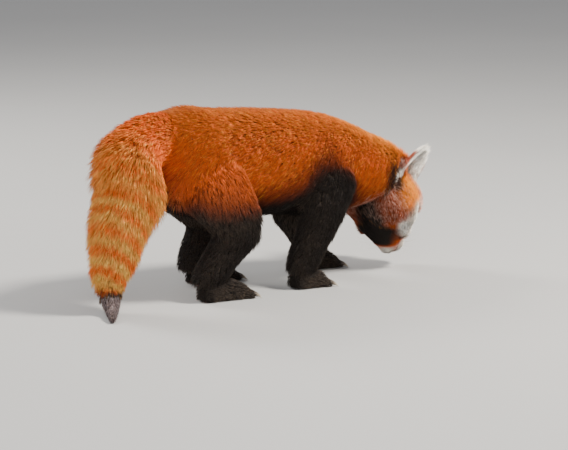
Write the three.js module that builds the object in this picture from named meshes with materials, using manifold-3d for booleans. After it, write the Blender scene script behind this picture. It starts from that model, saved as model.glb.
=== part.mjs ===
// A life-size red panda in mid walk, its head lowered to sniff the ground and its ringed tail
// hanging behind it, with the tip laid on the ground. Millimetres, +X forwards, +Y to the
// animal's left, +Z up. The ground is z = 0.
import * as THREE from "three";
import { mergeVertices } from "three/addons/utils/BufferGeometryUtils.js";
import Module from "manifold-3d";

const wasm = await Module();
wasm.setup();

// Driving sizes
const GAP = 0.3; // the parting between two neighbouring pieces
const TRUNK_SIDES = 24;
const LIMB_SIDES = 12;
const TAIL_SIDES = 12;
const HEAD_SIDES = 20;

// The trunk from rump to neck: x, top of the back, underside, half width.
const TRUNK = [
  [-184, 236, 176, 20],
  [-172, 262, 144, 54],
  [-135, 280, 118, 76],
  [-85, 274, 107, 80],
  [-20, 269, 106, 82],
  [40, 263, 102, 83],
  [90, 256, 97, 79],
  [130, 246, 97, 72],
  [165, 232, 98, 63],
  [200, 216, 94, 55],
  [234, 201, 90, 46],
  [256, 188, 92, 34],
  [272, 175, 99, 21],
  [281, 161, 108, 13],
  [284, 150, 117, 6],
];
const RUMP_END = -84; // planes across the spine that part the trunk
const LOIN_END = 40;
const CHEST_END = 150;

// The tail's middle line and the radius of its coat, from inside the rump to the tip.
const TAIL = [
  [-130, 0, 212, 42],
  [-170, -5, 228, 48],
  [-205, -14, 227, 54],
  [-230, -25, 205, 58],
  [-241, -32, 170, 55],
  [-260, -38, 129, 47],
  [-273, -40, 88, 40],
  [-287, -43, 54, 29],
  [-294, -51, 27, 18.5],
  [-303, -68, 12, 12.5],
  [-316, -92, 7, 8],
  [-327, -112, 4, 4],
];
const RINGS = 7; // each a ginger ring with the paler one behind it
const RINGS_START = 136.5; // along the tail's middle line
const RING_LENGTH = 25.4;
const TIP_START = 301.6; // the last ring has no paler one behind it

// The head, in its own frame: +X to the nose, +Y left, +Z to the crown.
const HEAD_AT = [243, 8, 88];
const HEAD_PITCH = 60; // degrees that the nose points below the horizon
const HEAD_YAW = 20; // degrees that it turns to the animal's left
const HEAD = [
  [-62, 30, -26, 26],
  [-54, 44, -36, 42],
  [-32, 53, -42, 53],
  [-8, 55, -43, 55],
  [10, 49, -42, 50],
  [26, 34, -40, 41],
  [38, 20, -37, 31],
  [50, 12, -33, 24],
  [61, 8, -27, 20],
  [67, 3, -20, 14],
  [70, -3, -14, 6],
];

// Long coat: locks of length, width and thickness, with how far the tip stands out.
const TAIL_CORE = 0.6; // share of the tail's radius that is dense under-fur
const CHEEK_LOCK = { length: 30, width: 24, thick: 4.5, rise: 9 };
const BELLY_LOCK = { length: 36, width: 27, thick: 5, rise: 8 };
const LEG_LOCK = { length: 30, width: 20, thick: 4.5, rise: 7 };
const EAR_LOCK = { length: 24, width: 9, thick: 2.6, rise: 2 };
const LOCK_SINK = 4.5; // how deep a lock's root stands in its node

// Helpers that make closed skins

// Cubic interpolation of a table's columns by its first one.
function smoothTable(rows) {
  const slope = (i, c) => {
    const a = rows[Math.max(i - 1, 0)];
    const b = rows[Math.min(i + 1, rows.length - 1)];
    return (b[c] - a[c]) / (b[0] - a[0]);
  };
  return (x) => {
    let i = 0;
    while (i < rows.length - 2 && x > rows[i + 1][0]) i += 1;
    const [p, q] = [rows[i], rows[i + 1]];
    const h = q[0] - p[0];
    const t = THREE.MathUtils.clamp((x - p[0]) / h, 0, 1);
    return p.slice(1).map((value, k) => {
      const c = k + 1;
      const [m, n] = [slope(i, c) * h, slope(i + 1, c) * h];
      const [t2, t3] = [t * t, t * t * t];
      return value * (2 * t3 - 3 * t2 + 1) + m * (t3 - 2 * t2 + t) + q[c] * (3 * t2 - 2 * t3) + n * (t3 - t2);
    });
  };
}

// A closed skin through rings that have the same number of points. Each end closes on a point of
// its own, or else on the middle of its ring.
function skin(rings, ends = []) {
  const count = rings[0].length;
  const points = rings.flat();
  const index = [];
  for (let r = 0; r < rings.length - 1; r += 1) {
    for (let i = 0; i < count; i += 1) {
      const [a, b] = [r * count + i, r * count + ((i + 1) % count)];
      index.push(a, b, a + count, b, b + count, a + count);
    }
  }
  [0, rings.length - 1].forEach((r, end) => {
    const middle = new THREE.Vector3();
    rings[r].forEach((p) => middle.addScaledVector(p, 1 / count));
    points.push(ends[end] ?? middle);
    for (let i = 0; i < count; i += 1) {
      const [a, b] = [r * count + i, r * count + ((i + 1) % count)];
      index.push(...(end ? [a, b, points.length - 1] : [b, a, points.length - 1]));
    }
  });
  const geometry = new THREE.BufferGeometry().setFromPoints(points);
  geometry.setIndex(index);
  return geometry;
}

// A closed mesh as a solid that can be joined and cut.
function solid(geometry) {
  const bare = geometry.index ? geometry.clone() : mergeVertices(geometry);
  bare.deleteAttribute("normal");
  bare.deleteAttribute("uv");
  const merged = mergeVertices(bare, 1e-4);
  const triVerts = new Uint32Array(merged.index.array);
  const vertProperties = merged.attributes.position.array;
  const made = new wasm.Manifold(new wasm.Mesh({ numProp: 3, vertProperties, triVerts }));
  if (made.volume() > 0) return made;
  for (let i = 0; i < triVerts.length; i += 3) {
    [triVerts[i], triVerts[i + 1]] = [triVerts[i + 1], triVerts[i]];
  }
  return new wasm.Manifold(new wasm.Mesh({ numProp: 3, vertProperties, triVerts }));
}

const join = (solids) => solids.reduce((all, one) => all.add(one));

// A point on a squarish oval: power 2 is an ellipse, and more is boxier.
function oval(angle, power) {
  const [c, s] = [Math.cos(angle), Math.sin(angle)];
  const bent = (v) => Math.sign(v) * Math.abs(v) ** (2 / power);
  return [bent(c), bent(s)];
}

// Rings across X from a table of x, top, bottom and half width.
function bodyRings(table, sides, steps, power, grow) {
  const at = smoothTable(table);
  const [first, last] = [table[0][0], table[table.length - 1][0]];
  return Array.from({ length: steps + 1 }, (_, k) => {
    // Rings stand closer together near the two ends.
    const share = 0.5 - 0.5 * Math.cos((Math.PI * k) / steps);
    const x = first + (last - first) * (0.5 * share + (0.5 * k) / steps);
    const [top, bottom, half] = at(x);
    const [middle, height] = [(top + bottom) / 2, (top - bottom) / 2];
    const reach = k === 0 ? -grow : k === steps ? grow : 0;
    return Array.from({ length: sides }, (_, i) => {
      const [c, s] = oval((2 * Math.PI * i) / sides, power);
      return new THREE.Vector3(x + reach, (half + grow) * c, middle + (height + grow) * s);
    });
  });
}

// A place on such a body, with the way out of it.
function bodyPlace(table, x, angle) {
  const [top, bottom, half] = smoothTable(table)(x);
  const [middle, height] = [(top + bottom) / 2, (top - bottom) / 2];
  const [c, s] = [Math.cos(angle), Math.sin(angle)];
  return {
    root: new THREE.Vector3(x, half * c, middle + height * s),
    out: new THREE.Vector3(0, c / half, s / height).normalize(),
  };
}

// The frame of a limb at a share t of its length, from stations of x, y, z, radius across and
// radius along.
function limbFrame(stations) {
  const line = new THREE.CatmullRomCurve3(stations.map((s) => new THREE.Vector3(s[0], s[1], s[2])));
  const radii = smoothTable(stations.map((s, i) => [i, s[3], s[4]]));
  const forward = new THREE.Vector3(1, 0, 0);
  return (t) => {
    const tangent = line.getTangent(t);
    const across = new THREE.Vector3().crossVectors(tangent, forward).normalize();
    const along = new THREE.Vector3().crossVectors(across, tangent).normalize();
    const [a, b] = radii(t * (stations.length - 1));
    return { middle: line.getPoint(t), tangent, across, along, a, b };
  };
}

function limbRings(stations, sides, steps, grow) {
  const frame = limbFrame(stations);
  return Array.from({ length: steps + 1 }, (_, k) => {
    const { middle, tangent, across, along, a, b } = frame(k / steps);
    const reach = k === 0 ? -grow : k === steps ? grow : 0;
    return Array.from({ length: sides }, (_side, i) => {
      const [c, s] = oval((2 * Math.PI * i) / sides, 2);
      const p = middle.clone().addScaledVector(tangent, reach);
      return p.addScaledVector(across, (a + grow) * c).addScaledVector(along, (b + grow) * s);
    });
  });
}

function limbPlace(stations, t, angle) {
  const { middle, tangent, across, along, a, b } = limbFrame(stations)(t);
  const [c, s] = [Math.cos(angle), Math.sin(angle)];
  const root = middle.clone().addScaledVector(across, a * c).addScaledVector(along, b * s);
  const out = across.clone().multiplyScalar(c / a).addScaledVector(along, s / b).normalize();
  return { root, out, lie: tangent };
}

// Locks of the long coat

// Even draws between two numbers, the same ones for the same seed.
function dice(seed) {
  let state = seed * 48271;
  return (low, high) => {
    state = (state * 16807) % 2147483647;
    return low + ((high - low) * state) / 2147483647;
  };
}

// Shares of a lock's length, with its width and thickness there.
const LOCK_BEND = 0.55;
const LOCK_STATIONS = [[0, 0.5, 1], [LOCK_BEND, 1, 0.8]];

// A flat, tapered lock along a path that gives its middle, its flat side's way out and its width's
// way across at each share of its length.
function lockAlong(path, { width, thick }, grow) {
  const rings = LOCK_STATIONS.map(([t, wide, deep]) => {
    const { middle, out, across } = path(t);
    const [w, d] = [(width * wide) / 2 + 1.3 * grow, (thick * deep) / 2 + 1.3 * grow];
    return [[w, 0], [0, d], [-w, 0], [0, -d]].map(([x, y]) => {
      return middle.clone().addScaledVector(across, x).addScaledVector(out, y);
    });
  });
  const tip = path(1).middle;
  const onward = tip.clone().sub(path(LOCK_BEND).middle).normalize();
  return skin(rings, [undefined, tip.addScaledVector(onward, 4 * grow)]);
}

// A lock from a place on a surface: it rises out of it, then bends back along its lie.
function lockFrom({ root, out, lie }, size, grow) {
  const flat = lie.clone().addScaledVector(out, -lie.dot(out)).normalize();
  const across = new THREE.Vector3().crossVectors(flat, out);
  const path = (t) => {
    const up = -LOCK_SINK + (size.rise + LOCK_SINK) * t * (1.8 - 0.8 * t);
    const middle = root.clone().addScaledVector(flat, size.length * t).addScaledVector(out, up);
    return { middle, out, across };
  };
  return lockAlong(path, size, grow);
}

// A size that differs a little from lock to lock.
function varied(size, draw) {
  return { ...size, length: size.length * draw(0.86, 1.14), width: size.width * draw(0.88, 1.12) };
}

// An ellipsoid at a place, turned by Euler angles in degrees.
function ellipsoid(at, radii, turn = [0, 0, 0], wide = 16, high = 12) {
  const ball = new THREE.SphereGeometry(1, wide, high);
  ball.scale(...radii);
  const euler = new THREE.Euler(...turn.map(THREE.MathUtils.degToRad));
  ball.applyMatrix4(new THREE.Matrix4().makeRotationFromEuler(euler));
  return ball.translate(...at);
}

// A block between two corners.
function block(low, high) {
  const size = low.map((v, i) => high[i] - v);
  return new THREE.BoxGeometry(...size).translate(...low.map((v, i) => v + size[i] / 2));
}

const FAR = 1000;
const aboveFloor = solid(block([-FAR, -FAR, 0], [FAR, FAR, FAR]));
const slab = (from, to) => solid(block([from, -FAR, -FAR], [to, FAR, FAR]));

// Trunk: one form from rump to neck, parted across the spine, with a fringe under the belly
const TRUNK_STEPS = 18;
const trunk = (grow) => solid(skin(bodyRings(TRUNK, TRUNK_SIDES, TRUNK_STEPS, 2.2, grow)));
const FRINGE_STEP = 33; // between two rows of the fringe
const FRINGE_ANGLES = [-108, -76]; // round the trunk, in degrees
const BACKWARDS = new THREE.Vector3(-1, 0, 0);

function fringe(from, to, grow) {
  const draw = dice(Math.round(from) + 500);
  const locks = [];
  const rows = Math.floor((to - from) / FRINGE_STEP);
  for (let row = 0; row < rows; row += 1) {
    for (const angle of FRINGE_ANGLES) {
      const turned = THREE.MathUtils.degToRad(angle + (row % 2 ? 14 : 0) + draw(-4, 4));
      const place = bodyPlace(TRUNK, from + FRINGE_STEP * (row + 0.7), turned);
      const lie = BACKWARDS.clone().add(new THREE.Vector3(0, draw(-0.12, 0.12), 0));
      locks.push(solid(lockFrom({ ...place, lie }, varied(BELLY_LOCK, draw), grow)));
    }
  }
  return locks;
}

function trunkPart(from, to, fringeFrom, fringeTo) {
  return (grow) => join([trunk(grow).intersect(slab(from - grow, to + grow)), ...fringe(fringeFrom, fringeTo, grow)]);
}

// Legs: shoulder or hip, the joint in the middle, then wrist or ankle
const LEGS = {
  fore_right: { hip: [98, -46, 160], knee: [72, -60, 102], ankle: [42, -58, 42], toe: [78, -60], foot: 58 },
  fore_left: { hip: [108, 46, 160], knee: [100, 60, 100], ankle: [134, 55, 42], toe: [180, 52], foot: 58 },
  hind_right: { hip: [-112, -50, 172], knee: [-76, -66, 104], ankle: [-122, -60, 42], toe: [-64, -64], foot: 80 },
  hind_left: { hip: [-106, 50, 172], knee: [-42, 64, 104], ankle: [-76, 57, 42], toe: [-6, 60], foot: 80 },
};
const LIMB_SIZES = {
  fore: { top: [40, 44], mid: [31, 33], low: [24, 25] },
  hind: { top: [44, 58], mid: [32, 38], low: [24, 26] },
};
const between = (a, b, t) => a.map((v, i) => v + (b[i] - v) * t);

function upperLeg(name) {
  const leg = LEGS[name];
  const { top, mid } = LIMB_SIZES[name.slice(0, 4)];
  const at = (t) => between(leg.hip, leg.knee, t);
  return [
    [...at(-0.42), top[0] * 0.35, top[1] * 0.35],
    [...at(-0.26), top[0] * 0.82, top[1] * 0.82],
    [...leg.hip, ...top],
    [...at(0.6), (top[0] + mid[0]) / 2, (top[1] + mid[1]) / 2],
    [...leg.knee, ...mid],
    [...at(1.3), mid[0] * 0.42, mid[1] * 0.42],
  ];
}

function lowerLeg(name) {
  const leg = LEGS[name];
  const { mid, low } = LIMB_SIZES[name.slice(0, 4)];
  const at = (t) => between(leg.knee, leg.ankle, t);
  return [
    [...at(-0.24), mid[0] * 0.45, mid[1] * 0.45],
    [...leg.knee, mid[0] - 1, mid[1] - 2],
    [...at(0.55), low[0] + 2, low[1] + 3],
    [...leg.ankle, ...low],
    [...at(1.3), low[0] * 0.7, low[1] * 0.7],
  ];
}

// A limb with rows of locks down its hind edge.
const HIND_EDGE = THREE.MathUtils.degToRad(-90);
function limb(stations, rows, steps) {
  return (grow) => {
    const draw = dice(Math.round(stations[0][2] + 3 * Math.abs(stations[1][0])));
    const pieces = [solid(skin(limbRings(stations, LIMB_SIDES, steps, grow)))];
    rows.forEach((t, row) => {
      for (const side of [-1, 1]) {
        const angle = HIND_EDGE + 0.5 * side + (row % 2 ? 0.25 : -0.25) + draw(-0.1, 0.1);
        const place = limbPlace(stations, t, angle);
        pieces.push(solid(lockFrom(place, varied(LEG_LOCK, draw), grow)));
      }
    });
    return join(pieces);
  };
}

// A paw: a flat-soled pad of fur with five toes and five claws
const TOES = 5;
const CLAW_LENGTH = 13;
function claw(at, heading, size) {
  const forward = new THREE.Vector3(Math.cos(heading), Math.sin(heading), 0);
  const side = new THREE.Vector3(-forward.y, forward.x, 0);
  const middle = (t) => {
    const drop = size * (0.12 * t - 0.62 * t * t);
    return at.clone().addScaledVector(forward, size * t).add(new THREE.Vector3(0, 0, drop));
  };
  const rings = [0, 0.55].map((t) => {
    const r = size * 0.17 * (1 - 0.7 * t);
    return [[1, 0], [0, 1.5], [-1, 0], [0, -1.5]].map(([x, y]) => {
      return middle(t).addScaledVector(side, r * x).add(new THREE.Vector3(0, 0, r * y));
    });
  });
  return solid(skin(rings, [undefined, middle(1)]));
}

function paw(name) {
  const { ankle, toe, foot } = LEGS[name];
  const heading = Math.atan2(toe[1] - ankle[1], foot * 1.4);
  const [width, height] = foot > 70 ? [22, 34] : [21, 33];
  // Along the sole from the toes back to the heel: half width and height.
  const table = [
    [-foot, height * 0.5, 0.5 * width],
    [-foot * 0.9, height * 0.9, 0.82 * width],
    [-foot * 0.5, height * 0.94, 0.92 * width],
    [-foot * 0.2, height * 0.74, width],
    [0, height * 0.42, 0.8 * width],
  ];
  return (grow) => {
    const at = smoothTable(table);
    const steps = 5;
    const rings = Array.from({ length: steps + 1 }, (_, k) => {
      const x = -foot + (foot * k) / steps;
      const [high, half] = at(x);
      const reach = k === 0 ? -grow : k === steps ? grow : 0;
      return Array.from({ length: LIMB_SIDES }, (_side, i) => {
        const [c, s] = oval((2 * Math.PI * i) / LIMB_SIDES, 2.4);
        return new THREE.Vector3(x + reach, (half + grow) * c, (high + grow) * (0.4 + 0.6 * s));
      });
    });
    const pieces = [solid(skin(rings))];
    for (let i = 0; i < TOES; i += 1) {
      const side = (i - (TOES - 1) / 2) / 2;
      const lead = 3 - 7 * side * side;
      const r = width * 0.26 + grow;
      pieces.push(solid(ellipsoid([lead, side * width * 0.8, r * 0.9], [r * 1.5, r, r * 1.1], [0, 0, 0], 6, 3)));
      if (grow === 0) {
        const root = new THREE.Vector3(lead + r * 0.9, side * width * 0.84, r * 1.05);
        pieces.push(claw(root, side * 0.35, CLAW_LENGTH));
      }
    }
    const placed = new THREE.Matrix4().makeRotationZ(heading).setPosition(toe[0], toe[1], 0);
    return join(pieces).transform(placed.elements).intersect(aboveFloor);
  };
}

// The tail's skin between two places along its middle line
const tailLine = new THREE.CatmullRomCurve3(TAIL.map((s) => new THREE.Vector3(s[0], s[1], s[2])));
tailLine.arcLengthDivisions = 400;
const TAIL_LENGTH = tailLine.getLength();
const tailRadius = (() => {
  const lengths = tailLine.getLengths(400);
  const byLength = smoothTable(
    TAIL.map((s, i) => [lengths[Math.round((400 * i) / (TAIL.length - 1))], s[3]]),
  );
  return (along) => byLength(along)[0];
})();

const TAIL_SIDE = new THREE.Vector3(0.5, 0.75, -0.4); // never in line with the tail
function tailFrame(along) {
  const u = THREE.MathUtils.clamp(along / TAIL_LENGTH, 0, 1);
  const tangent = tailLine.getTangentAt(u);
  const side = TAIL_SIDE.clone().addScaledVector(tangent, -TAIL_SIDE.dot(tangent)).normalize();
  const other = new THREE.Vector3().crossVectors(tangent, side);
  const past = Math.max(along - TAIL_LENGTH, 0);
  return { middle: tailLine.getPointAt(u).addScaledVector(tangent, past), tangent, side, other };
}

// The dense under-fur is as thick as the coat where the tail leaves the rump, and thins from there.
const FULL_UNTIL = 48;
const THIN_FROM = 92;
function tailCoreRadius(along) {
  const share = THREE.MathUtils.smoothstep(along, FULL_UNTIL, THIN_FROM);
  return tailRadius(along) * THREE.MathUtils.lerp(0.95, TAIL_CORE, share);
}

function tailCore(from, to, grow) {
  const steps = Math.max(1, Math.round((to - from) / 17));
  const rings = Array.from({ length: steps + 1 }, (_, k) => {
    const along = from + ((to - from) * k) / steps;
    const reach = k === 0 ? GAP / 2 - grow : k === steps ? grow - GAP / 2 : 0;
    const { middle, tangent, side, other } = tailFrame(along);
    const r = tailCoreRadius(along) + grow;
    return Array.from({ length: TAIL_SIDES }, (_side, i) => {
      const angle = (2 * Math.PI * i) / TAIL_SIDES;
      const p = middle.clone().addScaledVector(tangent, reach);
      return p.addScaledVector(side, r * Math.cos(angle)).addScaledVector(other, r * Math.sin(angle));
    });
  });
  return solid(skin(rings));
}

// A lock of the tail follows the tail's bends, from the under-fur out to the coat's full radius.
const TAIL_SLOPE = 0.56; // how steeply a lock of the tail stands out
function tailLock(from, angle, size, grow) {
  const start = tailCoreRadius(from) - LOCK_SINK;
  const end = tailRadius(from + size.length);
  const path = (t) => {
    const { middle, tangent, side, other } = tailFrame(from + size.length * t);
    const out = side.multiplyScalar(Math.cos(angle)).addScaledVector(other, Math.sin(angle));
    const r = start + (end - start) * t * (1.5 - 0.5 * t);
    return { middle: middle.addScaledVector(out, r), out, across: new THREE.Vector3().crossVectors(tangent, out) };
  };
  return lockAlong(path, size, grow);
}

// One row of locks round the tail. Rows that follow each other are turned by half a lock.
function tailRow(from, row, draw, grow) {
  const r = tailRadius(from);
  const count = THREE.MathUtils.clamp(Math.round(r / 6), 5, 8);
  const depth = r - tailCoreRadius(from) + LOCK_SINK;
  const size = { length: depth / TAIL_SLOPE, width: (5.3 * r) / count, thick: 1.5 + 0.055 * r };
  return Array.from({ length: count }, (_, i) => {
    const angle = ((i + (row % 2) / 2 + draw(-0.12, 0.12)) * 2 * Math.PI) / count;
    return solid(tailLock(from + draw(-1, 1), angle, varied(size, draw), grow));
  });
}

function tailPart(from, to, rows, seed) {
  return (grow) => {
    const draw = dice(seed);
    const locks = rows.flatMap((at, i) => tailRow(at, seed + i, draw, grow));
    return join([tailCore(from, to, grow), ...locks]);
  };
}

// Head
const HEAD_FRAME = (() => {
  const [pitch, yaw] = [HEAD_PITCH, HEAD_YAW].map(THREE.MathUtils.degToRad);
  const turn = new THREE.Matrix4().makeRotationZ(yaw).multiply(new THREE.Matrix4().makeRotationY(pitch));
  return turn.setPosition(...HEAD_AT);
})();
const inHead = (geometry) => geometry.applyMatrix4(HEAD_FRAME);
const SIDES = { left: 1, right: -1 };
const mirrored = (at, side) => [at[0], at[1] * SIDES[side], at[2]];
const EYE_AT = [26, 25.5, 15];
const EYE_RADIUS = 7.5;
const LID = 2.2; // how far the lids stand over the eyeball
const EYE_TURN = 40; // degrees that an eye looks out to its side

const eyeBall = (side, grow) => {
  const radii = Array(3).fill(EYE_RADIUS + grow);
  return solid(inHead(ellipsoid(mirrored(EYE_AT, side), radii, [90, 0, 0], 12, 8)));
};

const NOSE_AT = [67, 0, 0];
const NOSTRIL = [3, 1.7, 2];
const noseForm = (grow) => solid(inHead(ellipsoid(NOSE_AT, [6.5 + grow, 9 + grow, 6 + grow], [0, 20, 0], 12, 6)));

function nose(grow) {
  const holes = Object.keys(SIDES).map((side) => {
    return solid(inHead(ellipsoid(mirrored([73, 4.4, -1], side), NOSTRIL, [0, 0, -30 * SIDES[side]], 8, 5)));
  });
  return holes.reduce((form, hole) => form.subtract(hole), noseForm(grow));
}

const headForm = (grow) => solid(inHead(skin(bodyRings(HEAD, HEAD_SIDES, 12, 2.15, grow))));

// The two lids of an eye: a cap over the ball that is open in an almond shape
function lids(side) {
  const radii = Array(3).fill(EYE_RADIUS + LID);
  const cap = solid(inHead(ellipsoid(mirrored(EYE_AT, side), radii, [90, 0, 0], 10, 6)));
  const almond = new THREE.Shape();
  almond.moveTo(-8, -1.5);
  almond.quadraticCurveTo(-1, 6.5, 7.5, 2);
  almond.quadraticCurveTo(2, -6, -8, -1.5);
  const opening = new THREE.ExtrudeGeometry(almond, { depth: 20, bevelEnabled: false, curveSegments: 4 });
  // The shape's X runs from the outer corner to the inner one, and its Z looks out of the eye.
  const look = THREE.MathUtils.degToRad(EYE_TURN);
  const out = new THREE.Vector3(Math.cos(look) * 0.9, Math.sin(look) * SIDES[side] * 0.9, 0.42).normalize();
  const inner = new THREE.Vector3(0.35, -SIDES[side], -0.25);
  inner.addScaledVector(out, -inner.dot(out)).normalize();
  const up = new THREE.Vector3().crossVectors(out, inner);
  if (up.z < 0) up.negate();
  const turn = new THREE.Matrix4().makeBasis(inner, up, out).setPosition(...mirrored(EYE_AT, side));
  return cap.subtract(solid(inHead(opening.applyMatrix4(turn))));
}

// The line of the mouth: a thin curved wedge that runs back along both sides of the muzzle
function mouth() {
  const rings = Array.from({ length: 9 }, (_, k) => {
    const t = k / 4 - 1;
    const [x, y] = [80 - 46 * t * t, 34 * t];
    const z = -21 + 3 * t * t;
    const inward = new THREE.Vector3(-1, -0.9 * t, 0).normalize();
    const deep = new THREE.Vector3(x, y, z).addScaledVector(inward, 17 - 3 * t * t);
    return [new THREE.Vector3(x, y, z + 1.3), deep, new THREE.Vector3(x, y, z - 1.3)];
  });
  return solid(inHead(skin(rings)));
}

// The ruff: rows of locks on each cheek that sweep back and a little down
const RUFF_ROWS = [-2, -25]; // along the head
const RUFF_ANGLES = [-50, -23, 4]; // round the cheek, in degrees
function ruff(side, grow) {
  const draw = dice(side === "left" ? 31 : 57);
  const sweep = new THREE.Vector3(-1, 0, -0.45);
  return RUFF_ROWS.flatMap((x, row) => RUFF_ANGLES.map((angle) => {
    const turned = THREE.MathUtils.degToRad(angle + (row % 2 ? 13 : 0) + draw(-4, 4));
    const { root, out } = bodyPlace(HEAD, x, turned);
    [root, out].forEach((v) => v.setY(v.y * SIDES[side]));
    return solid(inHead(lockFrom({ root, out, lie: sweep }, varied(CHEEK_LOCK, draw), grow)));
  }));
}

function head(grow) {
  const pieces = [headForm(grow), ...ruff("left", grow), ...ruff("right", grow)];
  if (grow) return join(pieces);
  const lip = [11, 10.5, 8.5];
  for (const side of Object.keys(SIDES)) {
    pieces.push(solid(inHead(ellipsoid(mirrored([58, 10, -12.5], side), lip, [0, 0, 18 * SIDES[side]], 10, 6))));
    pieces.push(lids(side));
  }
  pieces.push(solid(inHead(ellipsoid([55, 0, -27], [11, 12, 7], [0, 0, 0], 10, 6))));
  return join(pieces).subtract(mouth());
}

// An ear: a rounded triangular cup that opens forwards and outwards
const EAR_HEIGHT = 66;
const EAR_HALF_WIDTH = 29;
const EAR_WALL = 5.5;
const EAR_AT = [-36, 37, 24];
const EAR_SINK = 9; // how deep its foot stands in the head
const EAR_TURN = { out: 25, back: 29, open: { left: 52, right: 74 } }; // degrees

function earFrame(side) {
  const { out, back, open } = EAR_TURN;
  const [x, y, z] = [-out * SIDES[side], -back, open[side] * SIDES[side]].map(THREE.MathUtils.degToRad);
  const turn = new THREE.Matrix4().makeRotationX(x);
  turn.multiply(new THREE.Matrix4().makeRotationY(y)).multiply(new THREE.Matrix4().makeRotationZ(z));
  return HEAD_FRAME.clone().multiply(turn.setPosition(...mirrored(EAR_AT, side)));
}

// Half width of the ear at a share of its height.
const earHalf = (t) => {
  return EAR_HALF_WIDTH * Math.sqrt(Math.max(1 - t ** 1.8, 0)) * (0.84 + 0.16 * Math.sin(Math.PI * t));
};

// One side of the cup from its foot to its tip: a half round section, deeper by the middle.
function earShell(low, high, inset) {
  const steps = 5;
  const arc = 6;
  return skin(Array.from({ length: steps + 1 }, (_, k) => {
    const t = low + (high - low) * (k / steps);
    const half = Math.max(earHalf(Math.max(t, 0)) - inset, 0.6);
    const lean = -5 * t * t;
    const back = Array.from({ length: arc + 1 }, (_side, i) => {
      const angle = (i / arc - 0.5) * Math.PI;
      return new THREE.Vector3(lean - 0.72 * half * Math.cos(angle), half * Math.sin(angle), EAR_HEIGHT * t);
    });
    const front = inset > 2 ? 12 : -inset - 0.02 * half;
    const edges = [0.7, 0, -0.7].map((y) => new THREE.Vector3(lean + front, half * y, EAR_HEIGHT * t));
    return [...back, ...edges];
  }));
}

// The ear's fringe: locks from both rims that lean up and in across the cup
function earFringe(side, frame, grow) {
  const draw = dice(side === "left" ? 83 : 97);
  return [0.2, 0.4].flatMap((t) => [-1, 1].map((rim) => {
    const half = earHalf(t);
    const root = new THREE.Vector3(-5 * t * t - 5, rim * (half - 2.5), EAR_HEIGHT * t);
    const out = new THREE.Vector3(0.8, -0.6 * rim, 0).normalize();
    const lie = new THREE.Vector3(0.25, -0.3 * rim, 1);
    return solid(lockFrom({ root, out, lie }, varied(EAR_LOCK, draw), grow).applyMatrix4(frame));
  }));
}

function ear(side) {
  const frame = earFrame(side);
  return (grow) => {
    const [low, high] = [(-EAR_SINK - grow) / EAR_HEIGHT, 0.985 + grow / EAR_HEIGHT];
    const outer = solid(earShell(low, high, -1.5 * grow).applyMatrix4(frame));
    const hollow = solid(earShell(0.1, 1.02, EAR_WALL).applyMatrix4(frame));
    return join([grow ? outer : outer.subtract(hollow), ...earFringe(side, frame, grow)]);
  };
}

// Every node in order: a later one is cut clear of the earlier ones that it meets
const COLOURS = {
  russet: 0xb4491a,
  ginger: 0xc8622a,
  dark: 0x1c1512,
  cream: 0xf1e4d0,
  tip: 0x3a2c28,
  eye: 0x0d0a08,
};
const nodes = [];
const add = (name, colour, make, meets = []) => nodes.push({ name, colour, make, meets });

for (const side of Object.keys(SIDES)) add(`eye_${side}`, "eye", (grow) => eyeBall(side, grow));
add("nose", "dark", nose);
add("head", "russet", head, ["eye_left", "eye_right", "nose"]);
for (const side of Object.keys(SIDES)) add(`ear_${side}`, "cream", ear(side), ["head"]);
add("neck", "russet", trunkPart(CHEST_END, FAR, CHEST_END + 10, 228), ["head", "ear_left", "ear_right"]);
add("chest", "russet", trunkPart(LOIN_END, CHEST_END, LOIN_END + 8, CHEST_END), ["neck", "head"]);
add("loin", "russet", trunkPart(RUMP_END, LOIN_END, RUMP_END + 40, LOIN_END), ["chest", "neck"]);
add("rump", "russet", trunkPart(-FAR, RUMP_END, RUMP_END, RUMP_END), ["loin"]);
for (const name of Object.keys(LEGS)) {
  const hind = name.startsWith("hind");
  const [lower, upper] = [`lower_leg_${name}`, `upper_leg_${name}`];
  const body = ["neck", "chest", "loin", "rump"];
  add(`paw_${name}`, "dark", paw(name));
  add(lower, "dark", limb(lowerLeg(name), [0.42], 6), [`paw_${name}`, ...body]);
  const rows = hind ? [0.4, 0.58] : [0.5];
  add(upper, hind ? "russet" : "dark", limb(upperLeg(name), rows, 7), [...body, "head", lower, `paw_${name}`]);
}

const ROOT_ROWS = [66, 91, 115];
const RING_ROW = 3; // the row of a ring's locks, behind the ring's upper edge
const TIP_ROWS = [305, 325, 344];
const thighs = ["upper_leg_hind_left", "upper_leg_hind_right"];
add("tail_root", "ginger", tailPart(0, RINGS_START, ROOT_ROWS, 1), ["rump", ...thighs]);
const above = ["tail_root"]; // the lengths of tail above, whose locks lie over the next ones
for (let i = 0; i < RINGS; i += 1) {
  const name = `tail_ring_${i + 1}`;
  const from = RINGS_START + i * RING_LENGTH;
  const to = Math.min(from + RING_LENGTH, TIP_START);
  add(name, "ginger", tailPart(from, to, [from + RING_ROW], 10 + i), above.slice(-3));
  above.push(name);
}
add("tail_tip", "tip", tailPart(TIP_START, TAIL_LENGTH, TIP_ROWS, 40), above.slice(-4));

const made = new Map(nodes.map((node) => [node.name, node]));
for (const node of nodes) {
  let form = node.make(0).intersect(aboveFloor);
  for (const other of node.meets) form = form.subtract(made.get(other).make(GAP));
  const bodies = form.decompose().sort((a, b) => b.volume() - a.volume());
  node.form = bodies[0];
}

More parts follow.
